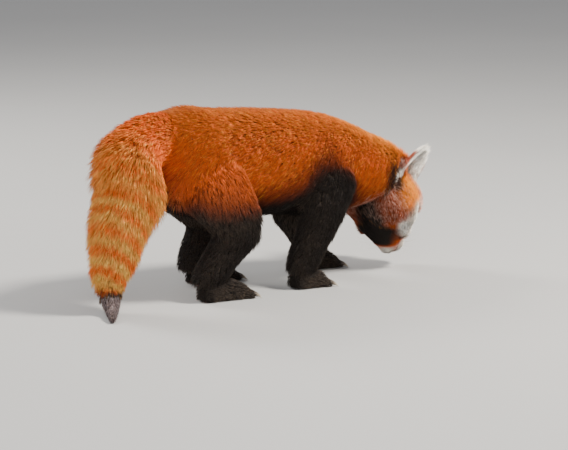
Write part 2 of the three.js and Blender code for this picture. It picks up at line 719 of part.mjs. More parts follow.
function meshOf(node) {
  const { numProp, vertProperties, triVerts } = node.form.getMesh();
  const positions = new Float32Array((vertProperties.length / numProp) * 3);
  for (let i = 0; i < positions.length / 3; i += 1) {
    positions.set(vertProperties.subarray(i * numProp, i * numProp + 3), i * 3);
  }
  const geometry = new THREE.BufferGeometry();
  geometry.setAttribute("position", new THREE.BufferAttribute(positions, 3));
  geometry.setIndex(new THREE.BufferAttribute(triVerts, 1));
  const material = new THREE.MeshStandardMaterial({ color: COLOURS[node.colour], roughness: 0.9, metalness: 0 });
  const mesh = new THREE.Mesh(geometry, material);
  mesh.name = node.name;
  return mesh;
}

const panda = new THREE.Group();
panda.add(...nodes.map(meshOf));

// The origin is the middle of the footprint, on the floor.
const bounds = new THREE.Box3().setFromObject(panda);
const centre = bounds.getCenter(new THREE.Vector3());
panda.children.forEach((mesh) => mesh.geometry.translate(-centre.x, -centre.y, -bounds.min.z));

export default panda;
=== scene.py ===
# %% [markdown]
# # A red panda with its nose to the ground
#
# A red panda is a small, long-coated animal: a russet back, black legs and belly, a white face with
# russet stripes below the eyes, and a bushy, ringed tail. This lesson dresses a life-size model of
# one. The solids of the frame give its size and its outline, out to the tips of the coat. Here a
# bare skin is laid just inside them, and the coat grows out of it to the same outline.
#
# Every measure below is in millimetres in the animal's own frame: +X the way it walks, +Y to its
# left, +Z up from the ground. The last step of each piece turns them into the metres of the frame.

# %% Load the tools and the frame
import math

import bpy
import numpy as np
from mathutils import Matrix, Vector
from mathutils.kdtree import KDTree


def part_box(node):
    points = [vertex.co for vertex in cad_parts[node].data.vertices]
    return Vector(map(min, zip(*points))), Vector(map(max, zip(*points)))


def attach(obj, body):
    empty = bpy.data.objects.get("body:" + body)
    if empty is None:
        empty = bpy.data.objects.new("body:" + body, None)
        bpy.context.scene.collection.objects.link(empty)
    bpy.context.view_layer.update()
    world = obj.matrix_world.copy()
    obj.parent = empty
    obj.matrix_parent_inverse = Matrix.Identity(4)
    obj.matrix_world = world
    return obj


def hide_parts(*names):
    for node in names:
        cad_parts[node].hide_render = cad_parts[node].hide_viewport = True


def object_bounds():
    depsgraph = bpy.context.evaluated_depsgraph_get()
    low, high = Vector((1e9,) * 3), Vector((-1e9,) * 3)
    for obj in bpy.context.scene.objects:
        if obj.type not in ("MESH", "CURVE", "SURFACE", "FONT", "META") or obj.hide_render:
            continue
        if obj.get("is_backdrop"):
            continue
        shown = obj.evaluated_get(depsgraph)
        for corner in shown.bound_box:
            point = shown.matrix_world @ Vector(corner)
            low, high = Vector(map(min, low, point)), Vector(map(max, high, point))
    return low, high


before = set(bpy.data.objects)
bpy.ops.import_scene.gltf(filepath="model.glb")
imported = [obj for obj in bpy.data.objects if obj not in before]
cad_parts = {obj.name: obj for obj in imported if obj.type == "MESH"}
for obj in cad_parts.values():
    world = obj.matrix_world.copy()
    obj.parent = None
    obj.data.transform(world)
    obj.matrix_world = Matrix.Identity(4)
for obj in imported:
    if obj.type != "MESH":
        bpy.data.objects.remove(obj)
cad_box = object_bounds()
rng = np.random.default_rng(7)
print("the frame holds", len(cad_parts), "solids")

# %% [markdown]
# ## The sizes of the animal
#
# The trunk is an oval that changes from rump to neck, the tail a round that follows a hanging line,
# and the head an oval that tapers to the muzzle. Tables hold the few stations of each, and a smooth
# curve runs between them. The radii reach out to the tips of the coat. Tables were chosen over
# sculpting because a few stations are easy to read and to change.

# %% Stations and sizes
# x, top of the back, underside, half width
TRUNK = np.array([
    [-184, 236, 176, 20], [-172, 262, 144, 54], [-135, 280, 118, 76], [-85, 274, 107, 80],
    [-20, 269, 106, 82], [40, 263, 102, 83], [90, 256, 97, 79], [130, 246, 97, 72],
    [165, 232, 98, 63], [200, 216, 94, 55], [234, 201, 90, 46], [256, 188, 92, 34],
    [272, 175, 99, 21], [281, 161, 108, 13], [284, 150, 117, 6],
], float)
# x, y, z, radius of the coat
TAIL = np.array([
    [-130, 0, 212, 42], [-170, -5, 228, 48], [-205, -14, 227, 54], [-230, -25, 205, 58],
    [-241, -32, 170, 55], [-260, -38, 129, 47], [-273, -41, 88, 39], [-284, -45, 54, 28],
    [-289, -53, 27, 17], [-297, -70, 12, 10.5], [-309, -92, 7, 7], [-319, -110, 4, 4],
], float)
# in the head's frame, +X to the nose and +Z to the crown: x, top, bottom, half width
HEAD = np.array([
    [-62, 30, -26, 26], [-54, 44, -36, 42], [-32, 53, -43, 54], [-8, 55, -45, 57],
    [10, 49, -43, 51], [26, 34, -40, 41], [38, 20, -37, 31], [50, 12, -33, 24],
    [61, 8, -27, 20], [67, 3, -20, 14], [70, -3, -14, 6],
], float)
HEAD_AT = np.array([243.0, 8, 88])
HEAD_PITCH, HEAD_YAW = math.radians(60), math.radians(20)
EYE_AT = np.array([26.0, 25.5, 15])
EYE_RADIUS = 7.5
NOSE_AT = np.array([67.0, 0, 0])
RING_LENGTH = 25.4  # a ginger ring and the pale one behind it
FIRST_RING = 143.0  # along the tail, the middle of the first ginger ring
ROOT_END, TIP_START = 136.5, 301.6

FORE_FOOT, HIND_FOOT = 58, 80
LEGS = {
    "fore_right": dict(hip=(98, -46, 160), knee=(72, -60, 102), ankle=(42, -58, 42), toe=(78, -60)),
    "fore_left": dict(hip=(108, 46, 160), knee=(100, 60, 100), ankle=(134, 55, 42), toe=(180, 52)),
    "hind_right": dict(hip=(-112, -50, 172), knee=(-76, -66, 104), ankle=(-122, -60, 42), toe=(-64, -64)),
    "hind_left": dict(hip=(-106, 50, 172), knee=(-42, 64, 104), ankle=(-76, 57, 42), toe=(-6, 60)),
}
for name, leg in LEGS.items():
    leg["foot"] = FORE_FOOT if name.startswith("fore") else HIND_FOOT
LIMB_SIZES = {
    "fore": dict(top=(40, 44), mid=(31, 33), low=(24, 25)),
    "hind": dict(top=(44, 58), mid=(32, 38), low=(24, 26)),
}
SIDES = {"left": 1, "right": -1}


# %% Smooth tables, unit rows and turns
def smooth_table(rows, x):
    """The table's columns at each x, on a smooth curve through its rows."""
    x = np.atleast_1d(np.asarray(x, float))
    last = len(rows) - 1
    slopes = np.empty_like(rows)
    for i in range(len(rows)):
        a, b = rows[max(i - 1, 0)], rows[min(i + 1, last)]
        slopes[i] = (b - a) / (b[0] - a[0])
    i = np.clip(np.searchsorted(rows[:, 0], x) - 1, 0, last - 1)
    h = rows[i + 1, 0] - rows[i, 0]
    t = np.clip((x - rows[i, 0]) / h, 0, 1)[:, None]
    h = h[:, None]
    p, q, m, n = rows[i, 1:], rows[i + 1, 1:], slopes[i, 1:] * h, slopes[i + 1, 1:] * h
    near = p * (2 * t**3 - 3 * t**2 + 1) + m * (t**3 - 2 * t**2 + t)
    return near + q * (3 * t**2 - 2 * t**3) + n * (t**3 - t**2)


def unit(v):
    """Each row of v at length 1."""
    return v / np.maximum(np.linalg.norm(v, axis=-1, keepdims=True), 1e-9)


def step(x, low, high):
    """0 below low, 1 above high, and smooth between them."""
    t = np.clip((x - low) / (high - low), 0, 1)
    return t * t * (3 - 2 * t)


def turn(axis, angle):
    """The matrix of a turn about X, Y or Z."""
    c, s = math.cos(angle), math.sin(angle)
    return np.array({
        "x": [[1, 0, 0], [0, c, -s], [0, s, c]],
        "y": [[c, 0, s], [0, 1, 0], [-s, 0, c]],
        "z": [[c, -s, 0], [s, c, 0], [0, 0, 1]],
    }[axis])


# %% Frames of the head and of the solids
HEAD_AXES = turn("z", HEAD_YAW) @ turn("y", HEAD_PITCH)


def from_head(p):
    return np.asarray(p, float) @ HEAD_AXES.T + HEAD_AT


def to_head(p):
    return (np.asarray(p, float) - HEAD_AT) @ HEAD_AXES


# The frame's origin is the middle of the solids' footprint. An eye shows how far that is off.
eye_low, eye_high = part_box("eye_right")
eye_middle = (np.array(eye_low) + np.array(eye_high)) / 2
OFFSET = eye_middle * 1000 - from_head(EYE_AT * [1, -1, 1])
OFFSET[2] = 0


def to_frame(p):
    """Millimetres of the animal's own frame, as metres of the shared frame."""
    return (np.asarray(p, float) + OFFSET) / 1000


print("the animal's own origin stands at", np.round(OFFSET, 2), "mm in the frame")

# %% [markdown]
# ## Closed forms that carry the coat's direction
#
# Each form is a closed skin through rings. Beside its points it keeps what the coat needs there:
# the way the hair lies, the hair's length, how far its tips stand off the skin, and where the point
# is on an unwrap of that form. The skin that is made from the forms later looks these up. A mesh
# modelled by hand would need these painted on, while a ring knows its own direction.

# %% Closed rings that keep the lie of the hair
PARTS = ["rump", "loin", "chest", "neck", "head", "ear", "tail_root", "tail_rings", "tail_tip",
         "leg_fore", "leg_hind", "paw"]
PART = {name: i for i, name in enumerate(PARTS)}
forms = []


def closed_rings(rings):
    """Points and faces of a closed skin through rings, with a point in the middle of each end."""
    rows, columns = rings.shape[:2]
    points = np.concatenate([rings.reshape(-1, 3), rings[0].mean(0)[None], rings[-1].mean(0)[None]])
    i = np.arange(columns)
    j = (i + 1) % columns
    starts = np.arange(rows - 1)[:, None] * columns
    a, b = (starts + i).ravel(), (starts + j).ravel()
    quads = np.stack([a, b, b + columns, a + columns], 1)
    last = (rows - 1) * columns
    low = np.stack([j, i, np.full(columns, rows * columns)], 1)
    high = np.stack([last + i, last + j, np.full(columns, rows * columns + 1)], 1)
    return points, [quads, np.concatenate([low, high])]


def joined(parts):
    """Several meshes of points and faces as one."""
    starts = np.cumsum([0] + [len(p) for p, _ in parts])
    faces = [f + start for (_, fs), start in zip(parts, starts) for f in fs]
    return np.concatenate([p for p, _ in parts]), faces


def add_form(rings, part, lie, length, height, unwrap):
    """Keeps one closed form. rings is (count, sides, 3), and the rest is one value for each point."""
    count, sides = rings.shape[:2]

    def whole(value, columns):
        value = np.broadcast_to(value, (count, sides, columns)).reshape(-1, columns)
        return np.concatenate([value, value[:1], value[-1:]])

    points, faces = closed_rings(rings)
    forms.append(dict(
        points=points, faces=faces, part=whole(np.asarray(part, float)[..., None], 1)[:, 0],
        lie=unit(whole(lie, 3)), length=whole(length, 1)[:, 0], height=whole(height, 1)[:, 0],
        unwrap=whole(unwrap, 2),
    ))


def oval(angle, power):
    c, s = np.cos(angle), np.sin(angle)
    return np.sign(c) * np.abs(c) ** (2 / power), np.sign(s) * np.abs(s) ** (2 / power)


def around(sides):
    return np.arange(sides) * 2 * math.pi / sides


def unrolled(share, angle):
    """The unwrap of rings: the share of the length that each is at, and the share of a turn."""
    return np.stack(np.broadcast_arrays(share[:, None], angle / (2 * math.pi)), -1)


# %% [markdown]
# ## The trunk
#
# Under the coat the trunk is narrower all round by the coat's depth. The hair lies back from the
# shoulders to the tail and a little down the sides, and it is longest below the belly. One form
# from rump to neck, and not three, keeps the back's line unbroken.

# %% Build the trunk
COAT_DEPTH = 9.5  # from the skin to the tips, on the back
TRUNK_HAIR = 26.0
RUMP_HAIR = 12.0  # how much longer the hair grows where it falls over the tail
BELLY_DEPTH = 13.0
BELLY_HAIR = 34.0


def trunk_form(sides=72, steps=90):
    x = np.linspace(TRUNK[0, 0] + COAT_DEPTH * 0.7, TRUNK[-1, 0] - COAT_DEPTH * 0.7, steps)
    top, bottom, half = smooth_table(TRUNK, x).T
    angle = around(sides)
    c, s = oval(angle, 2.2)
    under = step(-s, 0.45, 0.95)[None, :]
    rear = step(-x, 110, 160)[:, None]
    depth = COAT_DEPTH + (BELLY_DEPTH - COAT_DEPTH) * under + 2.5 * rear
    middle, height = (top + bottom) / 2, (top - bottom) / 2
    rings = np.stack([
        x[:, None] + 0 * c,
        np.maximum(half[:, None] - depth, 4) * c,
        middle[:, None] + np.maximum(height[:, None] - depth, 4) * s,
    ], -1)
    part = np.select([x < -84, x < 40, x < 150], [PART["rump"], PART["loin"], PART["chest"]], PART["neck"])
    down = -0.45 * np.abs(c) * (s > -0.8)
    lie = np.stack([-np.ones_like(depth), 0.1 * c + 0 * depth, down + 0 * depth], -1)
    # On the rump the hair turns down over the thighs and towards the tail.
    lie[..., 2] -= step(-x, 100, 170)[:, None] * 0.4
    length = TRUNK_HAIR + (BELLY_HAIR - TRUNK_HAIR) * under + RUMP_HAIR * rear
    unwrap = unrolled((x + 190) / 480, angle)
    add_form(rings, part[:, None] + 0 * c, lie, length[..., None], depth[..., None], unwrap)


trunk_form()
print("trunk:", len(forms[-1]["points"]), "points")

# %% [markdown]
# ## The legs and paws
#
# Each leg is two tapering lengths that meet at the knee or elbow, and a paw with five toes. The
# hair lies down the leg and forward over the paw. A tube with a bend would pinch at the knee, so
# the lengths overlap there and the remesh joins them.

# %% Build the legs and paws
LEG_DEPTH = 7.0
LEG_HAIR = 19.0
PAW_DEPTH = 3.5
PAW_HAIR = 9.0
LIMB_LOSS = 1.6  # what the relaxing of the skin takes off a leg all round


def catmull(points, t):
    """A smooth line through points, at shares t of its length in spans, and its direction there."""
    points = np.asarray(points, float)
    ends = np.concatenate([[2 * points[0] - points[1]], points, [2 * points[-1] - points[-2]]])
    spans = len(points) - 1
    s = np.clip(np.asarray(t, float) * spans, 0, spans - 1e-9)
    i = s.astype(int)
    u = (s - i)[:, None]
    a, b, c, d = ends[i], ends[i + 1], ends[i + 2], ends[i + 3]
    slope, square, cube = c - a, 2 * a - 5 * b + 4 * c - d, 3 * b - a - 3 * c + d
    place = 0.5 * (2 * b + slope * u + square * u**2 + cube * u**3)
    way = 0.5 * (slope + 2 * square * u + 3 * cube * u**2)
    return place, unit(way)


def limb_form(stations, part, row, depth, hair, sides=32, steps=44):
    """stations: x, y, z, radius across, radius along."""
    stations = np.asarray(stations, float)
    t = np.linspace(0, 1, steps)
    middle, tangent = catmull(stations[:, :3], t)
    numbered = np.column_stack([np.arange(len(stations)), stations[:, 3:]])
    radii = smooth_table(numbered, t * (len(stations) - 1))
    across = unit(np.cross(tangent, [1.0, 0, 0]))
    along = unit(np.cross(across, tangent))
    angle = around(sides)
    a = np.maximum(radii[:, :1] - depth + LIMB_LOSS, 3) * np.cos(angle)
    b = np.maximum(radii[:, 1:] - depth + LIMB_LOSS, 3) * np.sin(angle)
    rings = middle[:, None] + across[:, None] * a[..., None] + along[:, None] * b[..., None]
    lie = np.broadcast_to((unit(tangent + [-0.25, 0, -0.2]))[:, None], rings.shape)
    unwrap = unrolled((row + 0.05 + 0.9 * t) / 4, angle)
    add_form(rings, np.full(rings.shape[:2], PART[part]), lie, hair, depth, unwrap)


def between(a, b, t):
    return [p + (q - p) * t for p, q in zip(a, b)]


def leg_forms(name, row):
    leg, kind = LEGS[name], name[:4]
    top, mid, low = (LIMB_SIZES[kind][k] for k in ("top", "mid", "low"))
    hip, knee, ankle = leg["hip"], leg["knee"], leg["ankle"]
    upper = [
        [*between(hip, knee, -0.42), top[0] * 0.35, top[1] * 0.35],
        [*between(hip, knee, -0.26), top[0] * 0.82, top[1] * 0.82],
        [*hip, *top],
        [*between(hip, knee, 0.6), (top[0] + mid[0]) / 2, (top[1] + mid[1]) / 2],
        [*knee, *mid],
        [*between(hip, knee, 1.3), mid[0] * 0.55, mid[1] * 0.55],
    ]
    lower = [
        [*between(knee, ankle, -0.24), mid[0] * 0.5, mid[1] * 0.5],
        [*knee, mid[0] - 1, mid[1] - 2],
        [*between(knee, ankle, 0.55), low[0] + 2, low[1] + 3],
        [*ankle, *low],
        [*between(knee, ankle, 1.3), low[0] * 0.8, low[1] * 0.8],
    ]
    limb_form(upper, "leg_" + kind, row, LEG_DEPTH, LEG_HAIR)
    limb_form(lower, "leg_" + kind, row + 2, LEG_DEPTH - 1.5, LEG_HAIR - 4)


# %% Paws and toes
def paw_frame(name):
    leg = LEGS[name]
    heading = math.atan2(leg["toe"][1] - leg["ankle"][1], leg["foot"] * 1.4)
    forward = np.array([math.cos(heading), math.sin(heading), 0])
    side = np.array([-forward[1], forward[0], 0])
    axes = np.stack([forward, side, [0, 0, 1]])
    return axes, np.array([*leg["toe"], 0.0])


TOES = 5


def toes(name):
    """Each toe's middle and radii in the paw's frame."""
    width = 22 if LEGS[name]["foot"] == HIND_FOOT else 21
    out = []
    for i in range(TOES):
        side = (i - (TOES - 1) / 2) / 2
        lead, r = 3 - 7 * side * side, width * 0.26
        out.append((np.array([lead, side * width * 0.8, r * 0.9]), np.array([r * 1.5, r, r * 1.1]), side))
    return out


def ball_rings(middle, radii, sides=20, steps=14):
    """Rings of an ellipsoid, along X."""
    t = np.linspace(0.03, math.pi - 0.03, steps)
    angle = around(sides)
    ring = np.stack([-np.cos(t)[:, None] + 0 * angle, np.sin(t)[:, None] * np.cos(angle),
                     np.sin(t)[:, None] * np.sin(angle)], -1)
    return middle + ring * radii


def paw_form(name, row, sides=40, steps=36):
    axes, toe = paw_frame(name)
    foot = LEGS[name]["foot"]
    width, high = (22, 34) if foot == HIND_FOOT else (21, 33)
    table = np.array([
        [-foot, high * 0.5, 0.5 * width], [-foot * 0.9, high * 0.9, 0.82 * width],
        [-foot * 0.5, high * 0.94, 0.92 * width], [-foot * 0.2, high * 0.74, width],
        [0, high * 0.42, 0.8 * width],
    ])
    x = np.linspace(-foot + PAW_DEPTH, -1, steps)
    rise, half = smooth_table(table, x).T
    angle = around(sides)
    c, s = oval(angle, 2.4)
    half, rise = half[:, None] - PAW_DEPTH * 0.8, rise[:, None] - PAW_DEPTH * 0.8
    z = np.maximum(rise * (0.4 + 0.6 * s), 1.2)
    rings = np.stack([x[:, None] + 0 * c, half * c, z], -1)
    lie = np.array([1.0, 0, -0.35]) @ axes
    share = (x + foot) / foot
    unwrap = unrolled((row + 0.1 + 0.7 * share) / 4, angle)
    add_form(rings @ axes + toe, np.full(rings.shape[:2], PART["paw"]), lie, PAW_HAIR, PAW_DEPTH, unwrap)
    for middle, radii, side in toes(name):
        rings = ball_rings(middle, radii - 1.2)
        rings[..., 2] = np.maximum(rings[..., 2], 1.2)
        spot = np.array([(row + 0.9) / 4, 0.25 + 0.2 * side])
        part = np.full(rings.shape[:2], PART["paw"])
        add_form(rings @ axes + toe, part, lie, PAW_HAIR * 0.7, PAW_DEPTH * 0.5, spot)


for row, name in enumerate(LEGS):
    leg_forms(name, row % 2)
    paw_form(name, row)
print("legs and paws:", len(forms), "closed forms so far")

# %% [markdown]
# ## The tail
#
# The tail's bone is thin, and most of what shows is hair as long as a finger. So the skin of the
# tail is the dense under-fur, well inside, and the long hair leans out from it towards the tip.

# %% Build the tail
TAIL_CORE = 0.55  # the under-fur's share of the coat's radius
TIP_HAIR = 17.0
TAIL_STEPS = 1600
tail_line, tail_way = catmull(TAIL[:, :3], np.linspace(0, 1, TAIL_STEPS + 1))
tail_lengths = np.concatenate([[0], np.cumsum(np.linalg.norm(np.diff(tail_line, axis=0), axis=1))])
TAIL_LENGTH = tail_lengths[-1]
at_station = (np.arange(len(TAIL)) * TAIL_STEPS / (len(TAIL) - 1)).round().astype(int)
tail_radii = smooth_table(np.column_stack([tail_lengths[at_station], TAIL[:, 3]]), tail_lengths)[:, 0]
TAIL_SIDE = np.array([0.5, 0.75, -0.4])


def tail_at(along):
    """The tail's middle, direction, two sideways axes and coat radius at lengths along it."""
    middle = np.stack([np.interp(along, tail_lengths, tail_line[:, k]) for k in range(3)], -1)
    way = unit(np.stack([np.interp(along, tail_lengths, tail_way[:, k]) for k in range(3)], -1))
    side = unit(TAIL_SIDE - way * (way @ TAIL_SIDE)[:, None])
    return middle, way, side, np.cross(way, side), np.interp(along, tail_lengths, tail_radii)


def tail_core(along, radius):
    thin = step(along, 48, 92)
    return radius * (0.86 + (TAIL_CORE - 0.86) * thin)


def tail_form(sides=40, steps=150):
    along = np.linspace(0, TAIL_LENGTH - 3, steps)
    middle, way, side, other, radius = tail_at(along)
    core = tail_core(along, radius)
    angle = around(sides)
    rings = middle[:, None] + core[:, None, None] * (
        side[:, None] * np.cos(angle)[:, None] + other[:, None] * np.sin(angle)[:, None])
    rings[..., 2] = np.maximum(rings[..., 2], 1.2)
    named = [PART["tail_root"], PART["tail_rings"]]
    part = np.select([along < ROOT_END, along < TIP_START], named, PART["tail_tip"])
    height = (radius - core)[:, None, None] + 0 * angle[:, None]
    length = height / 0.56
    # Towards the tip the hair is long for its depth, and runs together to a point.
    tip = step(along, TIP_START - 30, TIP_START + 6)[:, None, None]
    length = np.maximum(length, np.minimum(TIP_HAIR * tip, TAIL_LENGTH + 6 - along[:, None, None]))
    lie = np.broadcast_to(way[:, None], rings.shape)
    add_form(rings, part[:, None] + 0 * angle, lie, length, height, unrolled(along / TAIL_LENGTH, angle))


tail_form()
print("tail:", round(TAIL_LENGTH), "mm along its middle")

# %% [markdown]
# ## The head
#
# The face is short and broad: a small muzzle between full cheeks, a rounded forehead, and lips
# that meet in a line below the nose. Hair is shortest beside the nose and longest on the cheeks,
# where it stands out as a ruff.

# %% Build the head
FACE_DEPTH, CHEEK_DEPTH = 1.6, 9.0
FACE_HAIR, CHEEK_HAIR = 6.0, 26.0


def head_form(sides=72, steps=70):
    x = np.linspace(HEAD[0, 0] + 5, HEAD[-1, 0] - 1.5, steps)
    top, bottom, half = smooth_table(HEAD, x).T
    angle = around(sides)
    c, s = oval(angle, 2.15)
    fore = step(x, -20, 46)[:, None]
    inset = 6.0 + (FACE_DEPTH - 6.0) * fore
    middle, height = (top + bottom) / 2, (top - bottom) / 2
    rings = np.stack([
        x[:, None] + 0 * c,
        np.maximum(half[:, None] - inset, 2) * c,
        middle[:, None] + np.maximum(height[:, None] - inset, 2) * s,
    ], -1)
    cheek = step(np.abs(c), 0.5, 0.95) * step(-s, -0.35, 0.1) * (1 - step(x, 12, 40))[:, None]
    depth = inset + (CHEEK_DEPTH + 3 - inset) * cheek
    length = FACE_HAIR + (15.0 - FACE_HAIR) * (1 - fore)
    length = length + (CHEEK_HAIR - length) * cheek
    lie = np.stack([-np.ones_like(depth), 0.35 * c * (1 + cheek) + 0 * depth, -0.55 * cheek + 0.05 * s], -1)
    lie = lie @ HEAD_AXES.T
    part = np.full(rings.shape[:2], PART["head"])
    unwrap = unrolled((x + 64) / 140, angle)
    add_form(from_head(rings), part, lie, length[..., None], depth[..., None], unwrap)


def face_ball(middle, radii, lie=(-1, 0, 0.1), hair=FACE_HAIR, depth=FACE_DEPTH, spot=(0.9, 0.5)):
    rings = from_head(ball_rings(np.asarray(middle, float), np.asarray(radii, float)))
    lie = np.asarray(lie, float) @ HEAD_AXES.T
    add_form(rings, np.full(rings.shape[:2], PART["head"]), lie, hair, depth, spot)


head_form()
for side, sign in SIDES.items():
    # the lip, the brow, the temple and the cheek
    face_ball([57.5, 9.5 * sign, -12], [9.5, 9, 7.5], lie=(-1, 0.7 * sign, -0.2), hair=4.5,
              spot=(0.9, 0.5 + 0.1 * sign))
    face_ball([15, 21 * sign, 23], [13, 12, 8], hair=7, spot=(0.5, 0.25 + 0.1 * sign))
    face_ball([-8, 25 * sign, 33], [35, 21, 18], lie=(-1, 0.3 * sign, 0.2), hair=12, depth=4,
              spot=(0.38, 0.25 + 0.12 * sign))
    face_ball([17, 31 * sign, -13], [20, 12, 16], lie=(-1, 0.4 * sign, -0.2), hair=12, depth=4,
              spot=(0.55, 0.5 + 0.42 * sign))
# the chin and the bridge of the nose
face_ball([54, 0, -25.5], [10.5, 11, 6], hair=5, spot=(0.85, 0.75))
face_ball([50, 0, 4], [16, 10, 8], hair=4, spot=(0.8, 0.25))
print("head:", len(forms), "closed forms so far")

# %% [markdown]
# ## The ears
#
# An ear is a rounded triangular cup on a sunk foot. Its back is dark red with a white rim, and long
# white hair grows from both rims across the cup.

# %% Build the ears
EAR_HEIGHT, EAR_HALF_WIDTH, EAR_SINK = 66.0, 29.0, 9.0
EAR_CUP = 0.72  # how deep the cup is for its half width
EAR_AT = np.array([-36.0, 37, 24])
EAR_OUT, EAR_BACK = math.radians(25), math.radians(29)
EAR_OPEN = {"left": math.radians(52), "right": math.radians(74)}


def ear_axes(side):
    """The ear's axes as columns in the head's frame: X opens the cup, Z runs up to the tip."""
    sign = SIDES[side]
    return turn("x", -EAR_OUT * sign) @ turn("y", -EAR_BACK) @ turn("z", EAR_OPEN[side] * sign)


def from_ear(p, side):
    return from_head(np.asarray(p) @ ear_axes(side).T + EAR_AT * [1, SIDES[side], 1])


def to_ear(p, side):
    return (to_head(p) - EAR_AT * [1, SIDES[side], 1]) @ ear_axes(side)


def ear_half(t):
    rounded = np.sqrt(np.maximum(1 - np.maximum(t, 0) ** 1.8, 0))
    return EAR_HALF_WIDTH * rounded * (0.84 + 0.16 * np.sin(math.pi * t))


def ear_form(side, steps=40, arc=18):
    t = np.linspace(-EAR_SINK / EAR_HEIGHT, 0.96, steps)
    half = np.maximum(ear_half(t) - 1.2, 1.5)[:, None]
    lean = (-5 * t * t)[:, None]
    angle = np.linspace(-0.5, 0.5, arc) * math.pi
    open_ = step(t, 0.0, 0.2)[:, None]
    rise = EAR_HEIGHT * t[:, None] + 0 * angle
    back = np.stack([lean - EAR_CUP * half * np.cos(angle), half * np.sin(angle), rise], -1)
    inner_half = np.maximum(half - 3.6, 0.6)
    deep = lean - EAR_CUP * inner_half * np.cos(angle) * open_ - 0.4
    front = np.stack([deep, inner_half * np.sin(angle), rise], -1)[:, ::-1]
    rings = np.concatenate([back, front], 1)
    inside = np.concatenate([np.zeros(arc), np.ones(arc)])
    lie = np.array([0.0, 0, 1]) @ ear_axes(side).T @ HEAD_AXES.T
    length = (7.5 + 9 * inside)[None, :, None] + 0 * t[:, None, None]
    height = (1.8 + 2.4 * inside)[None, :, None] + 0 * t[:, None, None]
    across = np.arange(2 * arc) / (2 * arc)
    offset = 0.0 if side == "left" else 0.5
    unwrap = np.stack(np.broadcast_arrays(offset + 0.48 * across, step(t, -0.2, 1)[:, None]), -1)
    add_form(from_ear(rings, side), np.full(rings.shape[:2], PART["ear"]), lie, length, height, unwrap)


for side in SIDES:
    ear_form(side)
print("ears:", len(forms), "closed forms in all")

# %% [markdown]
# ## One skin over all the forms
#
# A living skin has no seams, so the forms are fused by a voxel remesh and then relaxed. The relaxing
# rounds the folds where a leg or an ear leaves the body, as muscle and fat do. A Boolean union
# would leave sharp creases, and uneven faces that can't be relaxed.

# %% Fuse and relax the skin
VOXEL = 1.9
RELAX_BODY, RELAX_HEAD, MELT = 14, 4, 45


def fused(forms):
    """One mesh round all the closed forms."""
    points, faces = joined([(f["points"], f["faces"]) for f in forms])
    mesh = bpy.data.meshes.new("rough")
    mesh.from_pydata(points.tolist(), [], [face for group in faces for face in group.tolist()])
    rough = bpy.data.objects.new("rough", mesh)
    bpy.context.scene.collection.objects.link(rough)
    remesh = rough.modifiers.new("skin", "REMESH")
    remesh.mode, remesh.voxel_size = "VOXEL", VOXEL
    made = bpy.data.meshes.new_from_object(rough.evaluated_get(bpy.context.evaluated_depsgraph_get()))
    bpy.data.objects.remove(rough)
    bpy.data.meshes.remove(mesh)
    co = np.empty(len(made.vertices) * 3, np.float32)
    made.vertices.foreach_get("co", co)
    corners = np.empty(len(made.loops), np.int32)
    made.loops.foreach_get("vertex_index", corners)
    bpy.data.meshes.remove(made)
    return co.reshape(-1, 3).astype(float), corners.reshape(-1, 4)


skin, quads = fused(forms)
edges = np.concatenate([quads[:, pair] for pair in ([0, 1], [1, 2], [2, 3], [3, 0])])
edges = np.unique(np.sort(edges, 1), axis=0)
degree = np.bincount(edges.ravel(), minlength=len(skin)).astype(float)


# %% Relax the skin
def neighbours_mean(values):
    """The mean of each point's neighbours on the skin."""
    out = np.empty_like(values)
    for k in range(values.shape[1]):
        out[:, k] = np.bincount(edges[:, 0], values[edges[:, 1], k], len(skin))
        out[:, k] += np.bincount(edges[:, 1], values[edges[:, 0], k], len(skin))
    return out / degree[:, None]


def relaxed(points, steps, weight):
    """Rounds the skin without letting it shrink: each step in is followed by a step back out."""
    for _ in range(steps):
        for share in (0.6, -0.4):
            points = points + share * weight * (neighbours_mean(points) - points)
    return points


def skin_normals(points):
    across = points[quads[:, 2]] - points[quads[:, 0]]
    along = points[quads[:, 3]] - points[quads[:, 1]]
    face = np.cross(across, along)
    # The quads of a closed skin that face out hold a positive volume.
    if np.sum(face * points[quads[:, 0]]) < 0:
        face = -face
    out = np.zeros_like(points)
    for k in range(4):
        for axis in range(3):
            out[:, axis] += np.bincount(quads[:, k], face[:, axis], len(points))
    return unit(out)


head_near = 1 - step(np.linalg.norm(to_head(skin) - [10, 0, 0], axis=1), 62, 80)
skin = relaxed(skin, RELAX_HEAD, np.ones((len(skin), 1)))
skin = relaxed(skin, RELAX_BODY - RELAX_HEAD, 1 - head_near[:, None])
# Shoulders, haunches and the root of the tail melt into the trunk. Paws, head and tail keep their form.
melting = (1 - head_near) * step(skin[:, 2], 34, 62) * step(skin[:, 0], -240, -205)
for _ in range(MELT):
    skin = skin + 0.8 * melting[:, None] * (neighbours_mean(skin) - skin)
# The fold where the tail leaves the rump is filled with hair, so nothing of it shows.
TAIL_SEAT, SEAT_REACH, SEAT_MELT = np.array([-166.0, -5, 222]), 46, 190
seat = 1 - step(np.linalg.norm(skin - TAIL_SEAT, axis=1), SEAT_REACH, SEAT_REACH * 2)
for _ in range(SEAT_MELT):
    skin = skin + 0.9 * seat[:, None] * (neighbours_mean(skin) - skin)
print("skin:", len(skin), "points,", 2 * len(quads), "triangles")

# %% [markdown]
# ## What the coat does at each point of the skin
#
# Each point of the skin takes its coat from the nearest point of a form, and then shares it with
# its neighbours, so that the hair turns smoothly from one part to the next. Combing by hand gives
# the same, but has to be done again after each change of shape.

